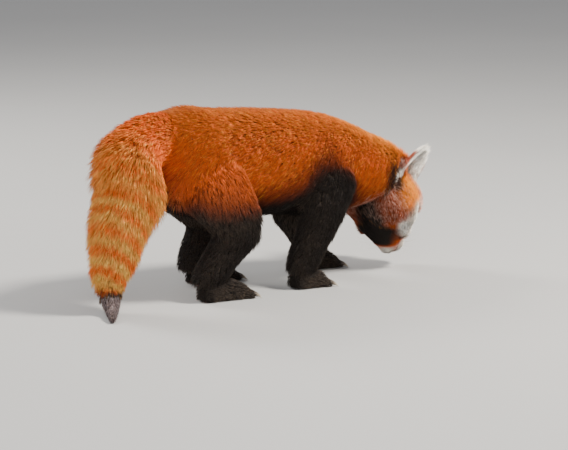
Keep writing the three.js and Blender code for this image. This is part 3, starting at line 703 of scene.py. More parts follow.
# %% Look up the coat
tree_points = np.concatenate([f["points"] for f in forms])
KEPT = ("part", "lie", "length", "height", "unwrap")
lookup = {key: np.concatenate([f[key] for f in forms]) for key in KEPT}
tree = KDTree(len(tree_points))
for i, p in enumerate(tree_points):
    tree.insert(p, i)
tree.balance()
nearest = np.array([tree.find(p)[1] for p in skin])
coat = {key: value[nearest] for key, value in lookup.items()}
coat["part"] = coat["part"].astype(int)
normal = skin_normals(skin)

BLEND_HEAD, BLEND_BODY = 16, 70
for key in ("lie", "length", "height"):
    value = coat[key] if coat[key].ndim == 2 else coat[key][:, None]
    for i in range(BLEND_BODY):
        share = 0.5 * (1 if i < BLEND_HEAD else 1 - head_near[:, None])
        value = (1 - share) * value + share * neighbours_mean(value)
    coat[key] = value if key == "lie" else value[:, 0]
coat["lie"] -= normal * np.sum(coat["lie"] * normal, 1)[:, None]
coat["lie"] = unit(coat["lie"])
print("coat: hair", round(coat["length"].min(), 1), "to", round(coat["length"].max(), 1), "mm long")

# %% [markdown]
# ## Markings
#
# The same rule colours the skin and every hair, from the place on the animal alone: russet above and
# black below, the nape and the spine more golden, a white muzzle, brows and cheeks with a russet
# stripe from each eye to the throat, and the tail in rings. Hairs carry their bands along their
# length, so the rings follow the place of each part of a hair. A painted image would do as well,
# but a rule needs no seams and stays sharp at any size.

# %% Colours of the coat, and soft spots of them
RUSSET = np.array([0.68, 0.115, 0.010])
GOLD = np.array([0.98, 0.34, 0.022])
DEEP = np.array([0.17, 0.026, 0.008])
BLACK = np.array([0.012, 0.009, 0.008])
GINGER = np.array([0.95, 0.155, 0.006])
BUFF = np.array([1.0, 0.53, 0.11])
TIP_BROWN = np.array([0.045, 0.026, 0.022])
WHITE = np.array([0.92, 0.87, 0.78])
ROSE = np.array([0.85, 0.52, 0.40])  # the bleached tips on the cheeks
TAIL_END_SHEEN = np.array([0.55, 0.44, 0.44])  # painted sheen on the end of the tail, as grey tips on the dark hair


def wobble(p, size, seed=0.0):
    """A smooth wave field between about -1 and 1 that changes over `size` mm."""
    q = np.asarray(p) / size * 2
    out = np.sin(q[:, 0] * 1.7 + seed) * np.cos(q[:, 1] * 1.3 - seed)
    out = out + np.sin(q[:, 1] * 2.3 + q[:, 2] * 1.1 + 2 * seed)
    out += np.sin(q[:, 2] * 1.9 - q[:, 0] * 0.8 + 3 * seed) + 0.6 * np.sin((q @ [2.9, 3.1, 2.7]) + seed)
    return out / 3.2


def blend(a, b, share):
    share = np.asarray(share)[:, None]
    return a * (1 - share) + b * share


def spot(p, middle, radii, soft=0.35):
    """1 inside an ellipsoid, 0 outside, with a soft edge."""
    d = np.linalg.norm((p - np.array(middle)) / np.array(radii), axis=1)
    return 1 - step(d, 1 - soft, 1 + soft)


def mirrored(p):
    """Both sides of the animal as one."""
    return np.column_stack([p[:, 0], np.abs(p[:, 1]), p[:, 2]])


def ear_shadow(p):
    """A painted shadow of each ear: a black patch on the neck behind it, which runs on to the back of the
    head.
    """
    return spot(mirrored(p), [230, 38, 148], [17, 26, 27], 0.25)


# %% Markings of the trunk
# Black reaches up to this height at each x: high on the shoulder, lower on the flank and throat.
BLACK_LINE = np.array([
    [-190, 150], [-130, 142], [-60, 138], [0, 141], [35, 153], [65, 180], [92, 192], [110, 180],
    [126, 160], [154, 135], [183, 112], [215, 94], [240, 82], [290, 74],
])


def trunk_marks(p):
    top, bottom, _ = smooth_table(TRUNK, p[:, 0]).T
    up = (p[:, 2] - (top + bottom) / 2) / ((top - bottom) / 2)
    gold = step(up + 0.1 * wobble(p, 40), 0.35, 1.0) * (0.25 + 0.7 * step(p[:, 0], 90, 225))
    colour = blend(np.broadcast_to(RUSSET, p.shape), GOLD, gold)
    colour = blend(colour, DEEP, 0.6 * spot(mirrored(p), [215, 34, 104], [44, 36, 38], 0.4))
    below = np.interp(p[:, 0], *BLACK_LINE.T) - p[:, 2] + 7 * wobble(p, 30) + 3 * wobble(p, 12, 1)
    colour = blend(blend(colour, DEEP, 0.85 * step(below, -42, 0)), BLACK, step(below, -10, 12))
    # The ear's painted shadow on the neck, in black.
    return blend(colour, BLACK, 0.95 * ear_shadow(p))


# %% Markings of the tail
RING_TILT = 0.5  # the rings stand higher on the outside of the tail's bend
RING_RISE = np.array([-0.85, -0.52, 0.0])


def tail_marks(p, along):
    out = (p - tail_at(along)[0]) @ RING_RISE
    phase = (along + RING_TILT * out - FIRST_RING - 14 + 2.4 * wobble(p, 22)) / RING_LENGTH
    ring = step(0.5 + 0.5 * np.cos(2 * math.pi * phase), 0.25, 0.85)
    ringed = step(along + RING_TILT * out, 95, 160)
    colour = blend(np.broadcast_to(GINGER, p.shape), RUSSET, 0.7 * (1 - step(along, 50, 120)))
    colour = blend(colour, BUFF, (1 - ring) * ringed * (0.62 + 0.3 * step(along, 130, 190)))
    dark = step(along + 4 * wobble(p, 12, 4), TIP_START - 6, TIP_START + 6)
    return blend(colour, TIP_BROWN, dark)


# %% Markings of the face
# The white of the face in the head's frame: middle, radii, softness and strength
WHITE_SPOTS = [
    ([17, 27, 34], [13, 11.5, 12], 0.35, 1),  # the spot above the eye
    ([4, 36, 32], [17, 12, 14], 0.35, 0.8),  # the temple
    ([-12, 36, 46], [22, 14, 15], 0.45, 0.5),  # before the ear
    ([8, 48, 2], [20, 18, 21], 0.35, 1),  # the cheek
    ([18, 42, -14], [21, 16, 17], 0.25, 1),  # the lower cheek
    ([58, 9, -8], [22, 18, 16], 0.35, 1),  # the muzzle
    ([56, 0, -24], [16, 15, 10], 0.35, 1),  # the chin
]


def head_marks(p):
    h = to_head(p)
    x, y, z = h.T
    h = h + 1.8 * np.stack([wobble(p, 12, 5), wobble(p, 12, 6), wobble(p, 12, 7)], 1)
    m = mirrored(h)
    colour = blend(np.broadcast_to(RUSSET, p.shape), GOLD, 0.6 * (1 - step(x, -44, -4)) * step(z, 0, 30))
    colour = blend(colour, DEEP, 0.35 * step(x, 4, 34) * step(z, 0, 20))
    colour = blend(colour, DEEP, 0.8 * step(-z, -2, 16) * (1 - step(x, -10, 20)))
    # Gold runs round the white of the temple and the cheek.
    colour = blend(colour, GOLD, 0.85 * spot(m, [-22, 44, 12], [28, 24, 27], 0.35))
    white = np.zeros(len(p))
    for middle, radii, soft, share in WHITE_SPOTS:
        white = np.maximum(white, share * spot(m, middle, radii, soft))
    colour = blend(colour, WHITE, white)
    # The stripe runs from below the eye, past the corner of the mouth, to the side of the throat.
    way = np.clip((12 - m[:, 2]) / 46, 0, 1)
    line = np.stack([34 - 5 * way, 26 + 1 * way, m[:, 2]], 1)
    stripe = 1 - step(np.linalg.norm((m - line) * [1, 1, 0], axis=1), 4 + 2 * way, 8 + 2 * way)
    stripe *= step(-m[:, 2], -14, -6)
    colour = blend(colour, RUSSET * 0.6, stripe)
    rim = 1 - step(np.linalg.norm(m - EYE_AT, axis=1), 9.5, 12.5)
    colour = blend(colour, BLACK * 1.5, 0.8 * rim)
    under = 18 + 22 * step(x, -8, 18)
    low = step(-z + 2 * wobble(p, 14, 8), 22, 34) * (1 - step(np.abs(y), under - 8, under + 8))
    low = np.maximum(low, step(-z + 2 * wobble(p, 14, 8), 35, 41))
    low = low * (1 - step(x, 40, 50))
    # Black below the head, and the ear's painted shadow on the back of the head.
    return blend(colour, BLACK, np.maximum(low, 0.95 * ear_shadow(p)))


# %% Markings of the ears, with painted shade inside each cup
PAINTED_EAR_SHADE = np.array([0.16, 0.10, 0.065])


def ear_marks(p):
    colour = np.broadcast_to(WHITE, p.shape).copy()
    for side, sign in SIDES.items():
        mine = to_head(p)[:, 1] * sign > 0
        e = to_ear(p, side)
        t = np.clip(e[:, 2] / EAR_HEIGHT, -0.15, 1)
        half = ear_half(t)
        lean = -5 * t * t
        # The radius from the cup's middle line tells its back from its inside.
        r = np.hypot((e[:, 0] - lean) / EAR_CUP, e[:, 1])
        back = step(r - (half - 3.2), -0.8, 0.8) * step(-(e[:, 0] - lean), -0.5, 1.5)
        rim = step(np.abs(e[:, 1]) - half, -1.5, 1.5) * step(t, 0.2, 0.6)
        dark = back * (1 - 0.7 * rim) * (1 - step(t + 0.03 * wobble(p, 9, 2), 0.68, 0.8))
        deep = 1 - step(np.abs(e[:, 1]) / np.maximum(half, 1), 0.15, 0.5)
        # Painted shade inside the cup: darker low down and towards its middle.
        cup_shade = (1 - back) * deep * (1 - step(t, 0.25, 0.6))
        shade = blend(np.broadcast_to(BLACK * 2, p.shape), DEEP * 1.5, step(t, 0.1, 0.42))
        both = colour * (1 - dark[:, None]) + shade * dark[:, None]
        both = blend(both, PAINTED_EAR_SHADE, 0.6 * cup_shade)
        colour[mine] = both[mine]
    return colour


# %% Bleached tips, a painted sheen on the tail's end, and one rule for every part
def leg_marks(p):
    """As the trunk, but black on the inside of the legs."""
    inner = 1 - step(np.abs(p[:, 1]), 34, 46)
    return blend(trunk_marks(p), BLACK, inner)


# How many hairs on the tail's end carry the grey tips of the painted sheen
TAIL_END_SHEEN_SHARE = 0.75


def pale_tips(p, part):
    """The share of hairs with pale tips where these roots are, and the colour of their tips: bleached on
    the coat, and on the tail's end a painted sheen.
    """
    tail = np.isin(part, [PART["tail_root"], PART["tail_rings"]])
    tail_end = part == PART["tail_tip"]
    plain = np.isin(part, [PART["leg_fore"], PART["leg_hind"], PART["paw"], PART["ear"], PART["head"]])
    face = part == PART["head"]
    hanging = step(-p[:, 0], 150, 225)
    colour = blend(np.broadcast_to(GOLD, p.shape), BUFF, hanging * tail)
    # On the tail's end the grey tips are a painted sheen, light caught on the dark hair.
    colour = np.where(tail_end[:, None], TAIL_END_SHEEN, colour)
    share = 0.16 + 0.12 * wobble(p, 30, 12) - 0.06 * hanging * tail
    above = step(p[:, 2] - np.interp(p[:, 0], *BLACK_LINE.T), 0, 40)
    share = np.select([plain, tail_end, tail], [0, TAIL_END_SHEEN_SHARE, share], share * above)
    frosted = spot(mirrored(p), [215, 34, 100], [42, 34, 34], 0.4)
    frosted = np.where(face | (part == PART["neck"]), frosted, 0)
    return np.clip(share + 0.4 * frosted, 0, 1), blend(colour, ROSE, step(frosted, 0.05, 0.4))


TAIL_PARTS = [PART[name] for name in ("tail_root", "tail_rings", "tail_tip")]


def marks(p, part, along=None):
    """Colours for points p that belong to the given parts. along is the place on the tail."""
    out = np.zeros_like(p)
    for name, rule in {
        "rump": trunk_marks, "loin": trunk_marks, "chest": trunk_marks, "neck": trunk_marks,
        "head": head_marks, "ear": ear_marks, "leg_fore": leg_marks, "leg_hind": leg_marks,
        "paw": lambda q: np.broadcast_to(BLACK, q.shape),
    }.items():
        mine = part == PART[name]
        if mine.any():
            out[mine] = rule(p[mine])
    mine = np.isin(part, TAIL_PARTS)
    if mine.any():
        out[mine] = tail_marks(p[mine], along[mine])
    return out


is_tail = np.isin(coat["part"], TAIL_PARTS)
skin_along = np.where(is_tail, coat["unwrap"][:, 0] * TAIL_LENGTH, 0)
skin_colour = marks(skin, coat["part"], skin_along)
for _ in range(2):
    skin_colour = 0.4 * skin_colour + 0.6 * neighbours_mean(skin_colour)
# On the trunk and legs the colours run softly into each other.
SOFTEN = 26
soft_colour = skin_colour
for _ in range(SOFTEN):
    share = 0.6 * (1 - head_near[:, None])
    soft_colour = (1 - share) * soft_colour + share * neighbours_mean(soft_colour)
print("markings on", len(skin_colour), "points of skin")

# %% [markdown]
# ## Materials of skin and hair
#
# Hair takes its colour from its markings, a little uneven from lock to lock, and has a soft sheen.
# The skin below has the same colours, darker, with a fine nap of its own in bump. Blender's hair
# shader suits curves, and these tufts are mesh, so the plain Principled shader is used.

# %% Materials for fur
def new_material(name):
    material = bpy.data.materials.new(name)
    material.use_nodes = True
    nodes, links = material.node_tree.nodes, material.node_tree.links
    nodes.clear()
    out = nodes.new("ShaderNodeOutputMaterial")
    shader = nodes.new("ShaderNodeBsdfPrincipled")
    links.new(shader.outputs[0], out.inputs[0])
    return material, nodes, links, shader


def object_texture(nodes, links, kind, scale, detail=2):
    """A procedural texture of the given scale in metres, laid out on the object itself."""
    place = nodes.new("ShaderNodeTexCoord")
    texture = nodes.new(kind)
    texture.inputs["Scale"].default_value = scale
    if kind == "ShaderNodeTexNoise":
        texture.inputs["Detail"].default_value = detail
    links.new(place.outputs["Object"], texture.inputs["Vector"])
    return texture


def marked_colour(nodes, links, shader, scale, low, high):
    """Gives the shader the markings' colour, made lighter and darker by noise."""
    marking = nodes.new("ShaderNodeAttribute")
    marking.attribute_name = "Coat"
    noise = object_texture(nodes, links, "ShaderNodeTexNoise", scale, 3)
    span = nodes.new("ShaderNodeMapRange")
    span.inputs["To Min"].default_value, span.inputs["To Max"].default_value = low, high
    links.new(noise.outputs["Fac"], span.inputs["Value"])
    mix = nodes.new("ShaderNodeVectorMath")
    mix.operation = "SCALE"
    links.new(marking.outputs["Color"], mix.inputs[0])
    links.new(span.outputs[0], mix.inputs["Scale"])
    links.new(mix.outputs[0], shader.inputs["Base Color"])


def ramped_colour(nodes, links, shader, value, low, high):
    """Gives the shader a colour that runs from low to high with the value."""
    ramp = nodes.new("ShaderNodeValToRGB")
    for element, colour in zip(ramp.color_ramp.elements, (low, high)):
        element.color = (*colour, 1)
    links.new(value, ramp.inputs["Fac"])
    links.new(ramp.outputs["Color"], shader.inputs["Base Color"])


def add_bump(nodes, links, shader, value, strength, distance):
    bump = nodes.new("ShaderNodeBump")
    bump.inputs["Strength"].default_value = strength
    bump.inputs["Distance"].default_value = distance
    links.new(value, bump.inputs["Height"])
    links.new(bump.outputs[0], shader.inputs["Normal"])


def fur_material(name, low, high, roughness, sheen):
    material, nodes, links, shader = new_material(name)
    marked_colour(nodes, links, shader, 160, low, high)
    shader.inputs["Roughness"].default_value = roughness
    shader.inputs["Specular IOR Level"].default_value = 0.22
    shader.inputs["Sheen Weight"].default_value = sheen
    shader.inputs["Sheen Roughness"].default_value = 0.45
    shader.inputs["Sheen Tint"].default_value = (1.0, 0.72, 0.5, 1)
    return material, nodes, links, shader


# %% Make the hair and the skin's finish
hair_material, *_ = fur_material("panda_hair", 0.8, 1.2, 0.62, 0.12)
skin_material, nodes, links, shader = fur_material("panda_skin", 0.55, 0.95, 0.85, 0.1)
nap = object_texture(nodes, links, "ShaderNodeTexNoise", 900, 4)
add_bump(nodes, links, shader, nap.outputs["Fac"], 0.7, 0.0012)
print("materials:", hair_material.name, skin_material.name)

# %% [markdown]
# ## Meshes from arrays
#
# The skin and the coat are too large to build point by point, so their meshes are filled from arrays.

# %% Fill meshes from arrays
def mesh_object(name, points, faces, material, colours=None, uvs=None):
    """A smooth mesh object in the frame's metres. faces is one array, or a list of arrays."""
    faces = faces if isinstance(faces, list) else [faces]
    corners = np.concatenate([f.ravel() for f in faces]).astype(np.int32)
    sizes = np.concatenate([np.full(len(f), f.shape[1]) for f in faces])
    starts = np.concatenate([[0], np.cumsum(sizes)[:-1]]).astype(np.int32)
    mesh = bpy.data.meshes.new(name)
    mesh.vertices.add(len(points))
    mesh.vertices.foreach_set("co", to_frame(points).astype(np.float32).ravel())
    mesh.loops.add(len(corners))
    mesh.loops.foreach_set("vertex_index", corners)
    mesh.polygons.add(len(starts))
    mesh.polygons.foreach_set("loop_start", starts)
    mesh.polygons.foreach_set("use_smooth", np.full(len(starts), True))
    if colours is not None:
        attribute = mesh.color_attributes.new("Coat", "FLOAT_COLOR", "POINT")
        rgba = np.concatenate([colours, np.ones((len(colours), 1))], 1).astype(np.float32)
        attribute.data.foreach_set("color", rgba.ravel())
    if uvs is not None:
        layer = mesh.uv_layers.new(name="OFBake")
        layer.data.foreach_set("uv", uvs[corners].astype(np.float32).ravel())
    mesh.update(calc_edges=True)
    mesh.materials.append(material)
    made = bpy.data.objects.new(name, mesh)
    bpy.context.scene.collection.objects.link(made)
    return made


# %% Show the skin
def place_piece(piece, slot, *nodes):
    """The piece rides on the still body and stands for the nodes; slot, its finish, is not used."""
    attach(piece, "root")
    if nodes:
        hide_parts(*nodes)
    return piece


flesh = [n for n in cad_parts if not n.startswith("eye_") and n != "nose"]
shown_colour = blend(soft_colour, skin_colour, step(skin_along, 25, 85))
skin_piece = mesh_object("skin", skin, quads, skin_material, shown_colour)
place_piece(skin_piece, "coat_russet", *flesh)
print("the skin stands for", len(flesh), "solids")

# %% [markdown]
# ## The coat
#
# Each tuft is a slim closed blade: it starts in the skin, is widest before its middle, bends over
# to lie along the coat and ends in a point. Neighbouring tips lean together into locks. Tufts are
# spread by area, with more of them where the hair is fine. Particle hair would be quicker to comb,
# but it can't be kept as mesh.

# %% Find roots for the tufts
triangles = np.concatenate([quads[:, [0, 1, 2]], quads[:, [0, 2, 3]]])
corner = skin[triangles]
area = np.linalg.norm(np.cross(corner[:, 1] - corner[:, 0], corner[:, 2] - corner[:, 0]), axis=1) / 2
tri_part = coat["part"][triangles[:, 0]]
FLOOR = 0.4  # no hair reaches below this


def roots(chosen, count):
    """Even, random places on the chosen triangles, with the skin's values there."""
    order = chosen[np.lexsort((np.round(corner[chosen, 0, 2] / 6), np.round(corner[chosen, 0, 0] / 6)))]
    sums = np.cumsum(area[order])
    spots = (np.arange(count) + rng.random(count)) / count * sums[-1]
    picked = order[np.minimum(np.searchsorted(sums, spots), len(order) - 1)]
    a, b = rng.random(count), rng.random(count)
    over = a + b > 1
    a[over], b[over] = 1 - a[over], 1 - b[over]
    weights = np.stack([1 - a - b, a, b], 1)
    ids = triangles[picked]

    def at(values):
        values = values if values.ndim == 2 else values[:, None]
        return np.einsum("nk,nkc->nc", weights, values[ids])

    lie = at(coat["lie"])
    up = unit(at(normal))
    lie = unit(lie - up * np.sum(lie * up, 1)[:, None])
    return dict(
        root=at(skin), up=up, lie=lie, length=at(coat["length"])[:, 0], height=at(coat["height"])[:, 0],
        part=tri_part[picked], unwrap=coat["unwrap"][ids[:, 0]] + 0.004 * (rng.random((count, 2)) - 0.5),
        colour=at(soft_colour),
    )


# %% Lean tufts together
LOCK_TONE = 0.10
MOST_LEAN = 30  # mm that a tip may be pulled aside


def lean_together(tufts, tips, size, share):
    """Pulls tips towards the middle of their lock. Gives the tips, and each lock's own tone."""
    seeds = rng.choice(len(tips), max(int(len(tips) / size), 1), replace=False)
    tree = KDTree(len(seeds))
    for i, s in enumerate(seeds):
        tree.insert(tufts["root"][s], i)
    tree.balance()
    lock = np.array([tree.find(p)[1] for p in tufts["root"]])
    pull = share * (0.5 + 0.5 * rng.random(len(tips)))[:, None]
    way = tips[seeds[lock]] - tips
    way *= np.minimum(1, MOST_LEAN / np.maximum(np.linalg.norm(way, axis=1), 1))[:, None]
    tone = 1 + LOCK_TONE * rng.normal(size=len(seeds))
    return tips + pull * way, tone[lock]


def clear_of_eyes(p):
    """Tells which of the points p are outside the bare lids, and where no hair would cross them."""
    m = mirrored(to_head(p))
    in_front = EYE_AT + np.array([5.5, -2.0, -1.0])
    return (np.linalg.norm(m - EYE_AT, axis=1) > 9.2) & (np.linalg.norm(m - in_front, axis=1) > 8.5)


# %% Shape and colour the tufts
CORNERS = (math.pi / 2, math.pi * 7 / 6, math.pi * 11 / 6)  # the three edges of a blade
# Where a blade has its rings of three corners, and how wide it is there
SHORT_BLADE = [(0.42, 1.0)]
LONG_BLADE = [(0.3, 1.0), (0.68, 0.7)]


def tuft_points(t, width, blade, spread, lock, clump):
    """Each tuft's points from root to tip, with its length, its reach and its lock's tone."""
    count = len(t["root"])
    side = np.cross(t["up"], t["lie"])
    stray = spread * (0.6 * wobble(t["root"], 16, 9) + 0.7 * rng.normal(size=count))
    lie = t["lie"] * np.cos(stray)[:, None] + side * np.sin(stray)[:, None]
    side = np.cross(t["up"], lie)
    size = np.clip(0.86 + 0.16 * rng.normal(size=count) + 0.08 * wobble(t["root"], 30, 11), 0.45, 1.15)
    length = (t["length"] * size)[:, None]
    height = t["height"] * np.clip(size + 0.12 * rng.normal(size=count), 0.3, 1.12)
    height = np.minimum(height, t["length"] * 0.75)[:, None]
    reach = np.sqrt(np.maximum(length**2 - height**2, 1))
    tips = t["root"] + lie * reach + t["up"] * height
    tips, tone = lean_together(t, tips, lock, clump)
    tips[:, 2] = np.maximum(tips[:, 2], FLOOR)
    wide = width * (0.75 + 0.5 * rng.random(count))[:, None] * (0.7 + 0.3 * length / length.mean())
    points = [t["root"] - t["up"] * (1.2 + 0.05 * height)]
    for s, share in blade:
        # A blade rises first and then bends over.
        middle = t["root"] + (tips - t["root"]) * s + t["up"] * height * 0.55 * (s - s * s)
        for angle in CORNERS:
            out = side * math.cos(angle) * 0.5 + t["up"] * math.sin(angle) * 0.22
            points.append(middle + out * wide * share)
    points = np.stack([*points, tips], 1)
    points[..., 2] = np.maximum(points[..., 2], FLOOR * 0.6)
    return points, length, reach, tone


def tuft_faces(count, rings):
    """Triangles of closed blades: a point, some rings of three corners, and a point."""
    faces = [(0, 2, 1), (0, 3, 2), (0, 1, 3)]
    for k in range(rings - 1):
        for a, b in ((1, 2), (2, 3), (3, 1)):
            a, b = a + 3 * k, b + 3 * k
            faces += [(a, b, b + 3), (a, b + 3, a + 3)]
    last = 3 * rings + 1
    faces += [(last - 3, last - 2, last), (last - 2, last - 1, last), (last - 1, last - 3, last)]
    return (np.array(faces)[None] + (last + 1) * np.arange(count)[:, None, None]).reshape(-1, 3)


def tuft_colours(t, points, shares, reach, tone, part):
    """The markings on each point of a tuft, shaded at the root and a little paler at the tip."""
    count, per = points.shape[:2]
    along_tail, exact = None, np.full(count, part in ("head", "ear"), float)
    if part.startswith("tail"):
        way = t["unwrap"][:, :1] * TAIL_LENGTH
        along_tail = (way + shares[None] * reach * 0.9).ravel()
        exact = step(way[:, 0], 25, 85)
    colours = np.repeat(t["colour"], per, 0)
    if exact.any():
        spots = np.repeat(t["root"], per, 0) * 0.35 + points.reshape(-1, 3) * 0.65
        own = marks(spots, np.repeat(t["part"], per), along_tail)
        colours = blend(colours, own, np.repeat(exact, per))
    pale, pale_colour = pale_tips(t["root"], t["part"])
    pale = np.where(rng.random(count) < pale, 0.45 + 0.4 * rng.random(count), 0)
    pale = (pale[:, None] * shares[None] ** 1.4)[..., None]
    colours = colours.reshape(count, per, 3) * (1 - pale) + pale_colour[:, None] * pale
    shade = (0.46 + 0.66 * shares**0.7)[None]
    tint = np.clip(tone[:, None] + 0.12 * rng.normal(size=(count, 1)), 0.6, 1.5)
    warm = 1 + 0.06 * rng.normal(size=(count, 1, 1)) * np.array([0.2, 1, 1.4])
    return np.clip(colours * (shade * tint)[..., None] * warm, 0, 1).reshape(-1, 3)


PATCH = 0.003  # how wide a tuft's own patch is on the unwrap


def tuft_uvs(unwrap, blade):
    """Each tuft as a small patch at its root's place."""
    rings = [[0.5 + 0.5 * math.cos(angle), s] for s, _ in blade for angle in CORNERS]
    patch = np.array([[0.5, 0], *rings, [0.5, 1]])
    return (np.clip(unwrap, 0.005, 0.99)[:, None] + (patch - 0.5) * PATCH).reshape(-1, 2)


# %% Grow the coat
def add_coat(name, part, count, width, slot, blade, spread, lock, clump):
    """Grows one piece of coat on a part of the skin and gives its number of triangles."""
    chosen = np.flatnonzero(tri_part == PART[part])
    t = roots(chosen[clear_of_eyes(corner[chosen].mean(1))], count)
    points, length, reach, tone = tuft_points(t, width, blade, spread, lock, clump)
    faces = tuft_faces(count, len(blade))
    shares = np.array([0.0, *(s for s, _ in blade for _ in CORNERS), 1.0])
    colours = tuft_colours(t, points, shares, reach, tone, part)
    uvs = tuft_uvs(t["unwrap"], blade)
    place_piece(mesh_object(name, points.reshape(-1, 3), faces, hair_material, colours, uvs), slot)
    print(f"{name}: {count} tufts, {len(faces)} triangles, {np.median(length):.0f} mm long")
    return len(faces)


def thinned(count):
    return count


# piece, part, tufts, width, finish, blade, how far it strays, tufts in a lock, how far they lean together
COATS = [
    ("rump", "rump", 22500, 1.5, "coat_russet", SHORT_BLADE, 0.26, 14, 0.4),
    ("loin", "loin", 22500, 1.5, "coat_russet", SHORT_BLADE, 0.26, 14, 0.4),
    ("chest", "chest", 22500, 1.5, "coat_russet", SHORT_BLADE, 0.26, 14, 0.4),
    ("neck", "neck", 22500, 1.5, "coat_russet", SHORT_BLADE, 0.26, 14, 0.4),
    ("head", "head", 32000, 1.0, "coat_russet", SHORT_BLADE, 0.22, 9, 0.35),
    ("ears", "ear", 9000, 0.8, "coat_cream", SHORT_BLADE, 0.22, 6, 0.25),
    ("forelegs", "leg_fore", 16000, 1.5, "coat_dark", SHORT_BLADE, 0.22, 16, 0.4),
    ("hind_legs", "leg_hind", 18000, 1.5, "coat_dark", SHORT_BLADE, 0.22, 16, 0.4),
    ("paws", "paw", 12000, 1.0, "coat_dark", SHORT_BLADE, 0.22, 9, 0.4),
    ("tail_root", "tail_root", 16000, 1.7, "coat_ginger", LONG_BLADE, 0.22, 16, 0.45),
    ("tail_rings", "tail_rings", 16500, 1.6, "coat_ginger", LONG_BLADE, 0.22, 16, 0.45),
    ("tail_tip", "tail_tip", 3600, 1.2, "coat_tip", LONG_BLADE, 0.22, 14, 0.5),
]
coat_total = 0
for name, part, count, *rest in COATS:
    coat_total += add_coat("coat_" + name, part, thinned(count), *rest)
print("the whole coat:", coat_total, "triangles")

# %% [markdown]
# ## Eyes and lids
#
# The eye is a wet, very dark brown ball of which the almond between the lids shows. The lids are
# bare black rims that follow the ball, so each is a band along the almond, lifted off the ball.
# Lids cut into the skin would need far smaller faces there.

# %% Aim the eyes
LOOK = math.radians(40)


def eye_axes(side):
    """Inner corner, up and out, as rows in the head's frame."""
    sign = SIDES[side]
    out = unit(np.array([math.cos(LOOK) * 0.9, math.sin(LOOK) * sign * 0.9, 0.42]))
    inner = np.array([0.35, -sign, -0.25])
    inner = unit(inner - out * (inner @ out))
    up = np.cross(out, inner)
    return np.stack([inner, up if up[2] > 0 else -up, out])


# %% Make the eyeballs
eye_material, nodes, links, shader = new_material("panda_eye")
marked_colour(nodes, links, shader, 700, 0.7, 1.3)
shader.inputs["Roughness"].default_value = 0.08
shader.inputs["Specular IOR Level"].default_value = 0.06
shader.inputs["Coat Weight"].default_value = 0.1
shader.inputs["Coat Roughness"].default_value = 0.02
IRIS, PUPIL = np.array([0.030, 0.011, 0.004]), np.array([0.002, 0.0015, 0.001])

for side, sign in SIDES.items():
    rings = ball_rings(np.zeros(3), np.ones(3) * EYE_RADIUS, 40, 40)
    points, faces = closed_rings(rings[..., [1, 2, 0]])
    axes = eye_axes(side)
    from_axis = np.degrees(np.arccos(np.clip(points[:, 2] / EYE_RADIUS, -1, 1)))
    iris = step(from_axis, 18, 24) * (1 - step(from_axis, 40, 48))
    colours = blend(np.broadcast_to(PUPIL, points.shape), IRIS, iris)
    points = from_head(points @ axes + EYE_AT * [1, sign, 1])
    eye = mesh_object("eyeball_" + side, points, faces, eye_material, colours)
    place_piece(eye, "eye_dark", "eye_" + side)


# %% Rim the eyes with lids
def almond(angle):
    """The almond between the lids, in mm from the middle of the eye: towards the nose and up."""
    c, s = np.cos(angle), np.sin(angle)
    return np.stack([6.3 * c, np.where(s > 0, 4.9, 3.9) * s * (1 - 0.2 * c) - 0.6 * c], -1)


def lid(side):
    angle = around(72)
    rim = almond(angle)
    out = unit(np.stack([np.cos(angle), np.sin(angle)], -1))
    rows = []
    # Round the band: in at the rim, over its thickness and out under the fur.
    for wide, lift in ((0.0, 0.1), (-0.1, 0.5), (0.35, 0.85), (1.1, 0.8), (2.0, 0.1), (1.1, -0.9)):
        flat = rim + out * wide
        radius = EYE_RADIUS + lift
        depth = np.sqrt(np.maximum(radius**2 - np.sum(flat**2, 1), 0.5))
        rows.append(np.column_stack([flat, depth]))
    rings = np.stack(rows, 1)
    steps, sides = rings.shape[:2]
    points = rings.reshape(-1, 3)
    k, i = np.meshgrid(np.arange(steps), np.arange(sides), indexing="ij")
    next_k, next_i = (k + 1) % steps, (i + 1) % sides
    a, b = k * sides + i, k * sides + next_i
    c, d = next_k * sides + next_i, next_k * sides + i
    faces = np.stack([a, d, c, b], -1).reshape(-1, 4)
    return from_head(points @ eye_axes(side) + EYE_AT * [1, SIDES[side], 1]), [faces]


leather_material, nodes, links, shader = new_material("panda_leather")
pebbles = object_texture(nodes, links, "ShaderNodeTexVoronoi", 1100).outputs["Distance"]
ramped_colour(nodes, links, shader, pebbles, (0.020, 0.017, 0.017), (0.008, 0.007, 0.007))
shader.inputs["Roughness"].default_value = 0.42
shader.inputs["Specular IOR Level"].default_value = 0.22
add_bump(nodes, links, shader, pebbles, 0.45, 0.0004)

lids = mesh_object("lids", *joined([lid(side) for side in SIDES]), leather_material)
place_piece(lids, "nose_dark")
print("eyes and lids done")

# %% [markdown]
# ## The nose
#
# A bare, damp, black pad with two comma-shaped nostrils and a groove between them. A ball's points
# are pushed in for these, which keeps the pad one closed mesh where a Boolean could tear it.

# %% Shape the nose
NOSE_TILT = math.radians(20)


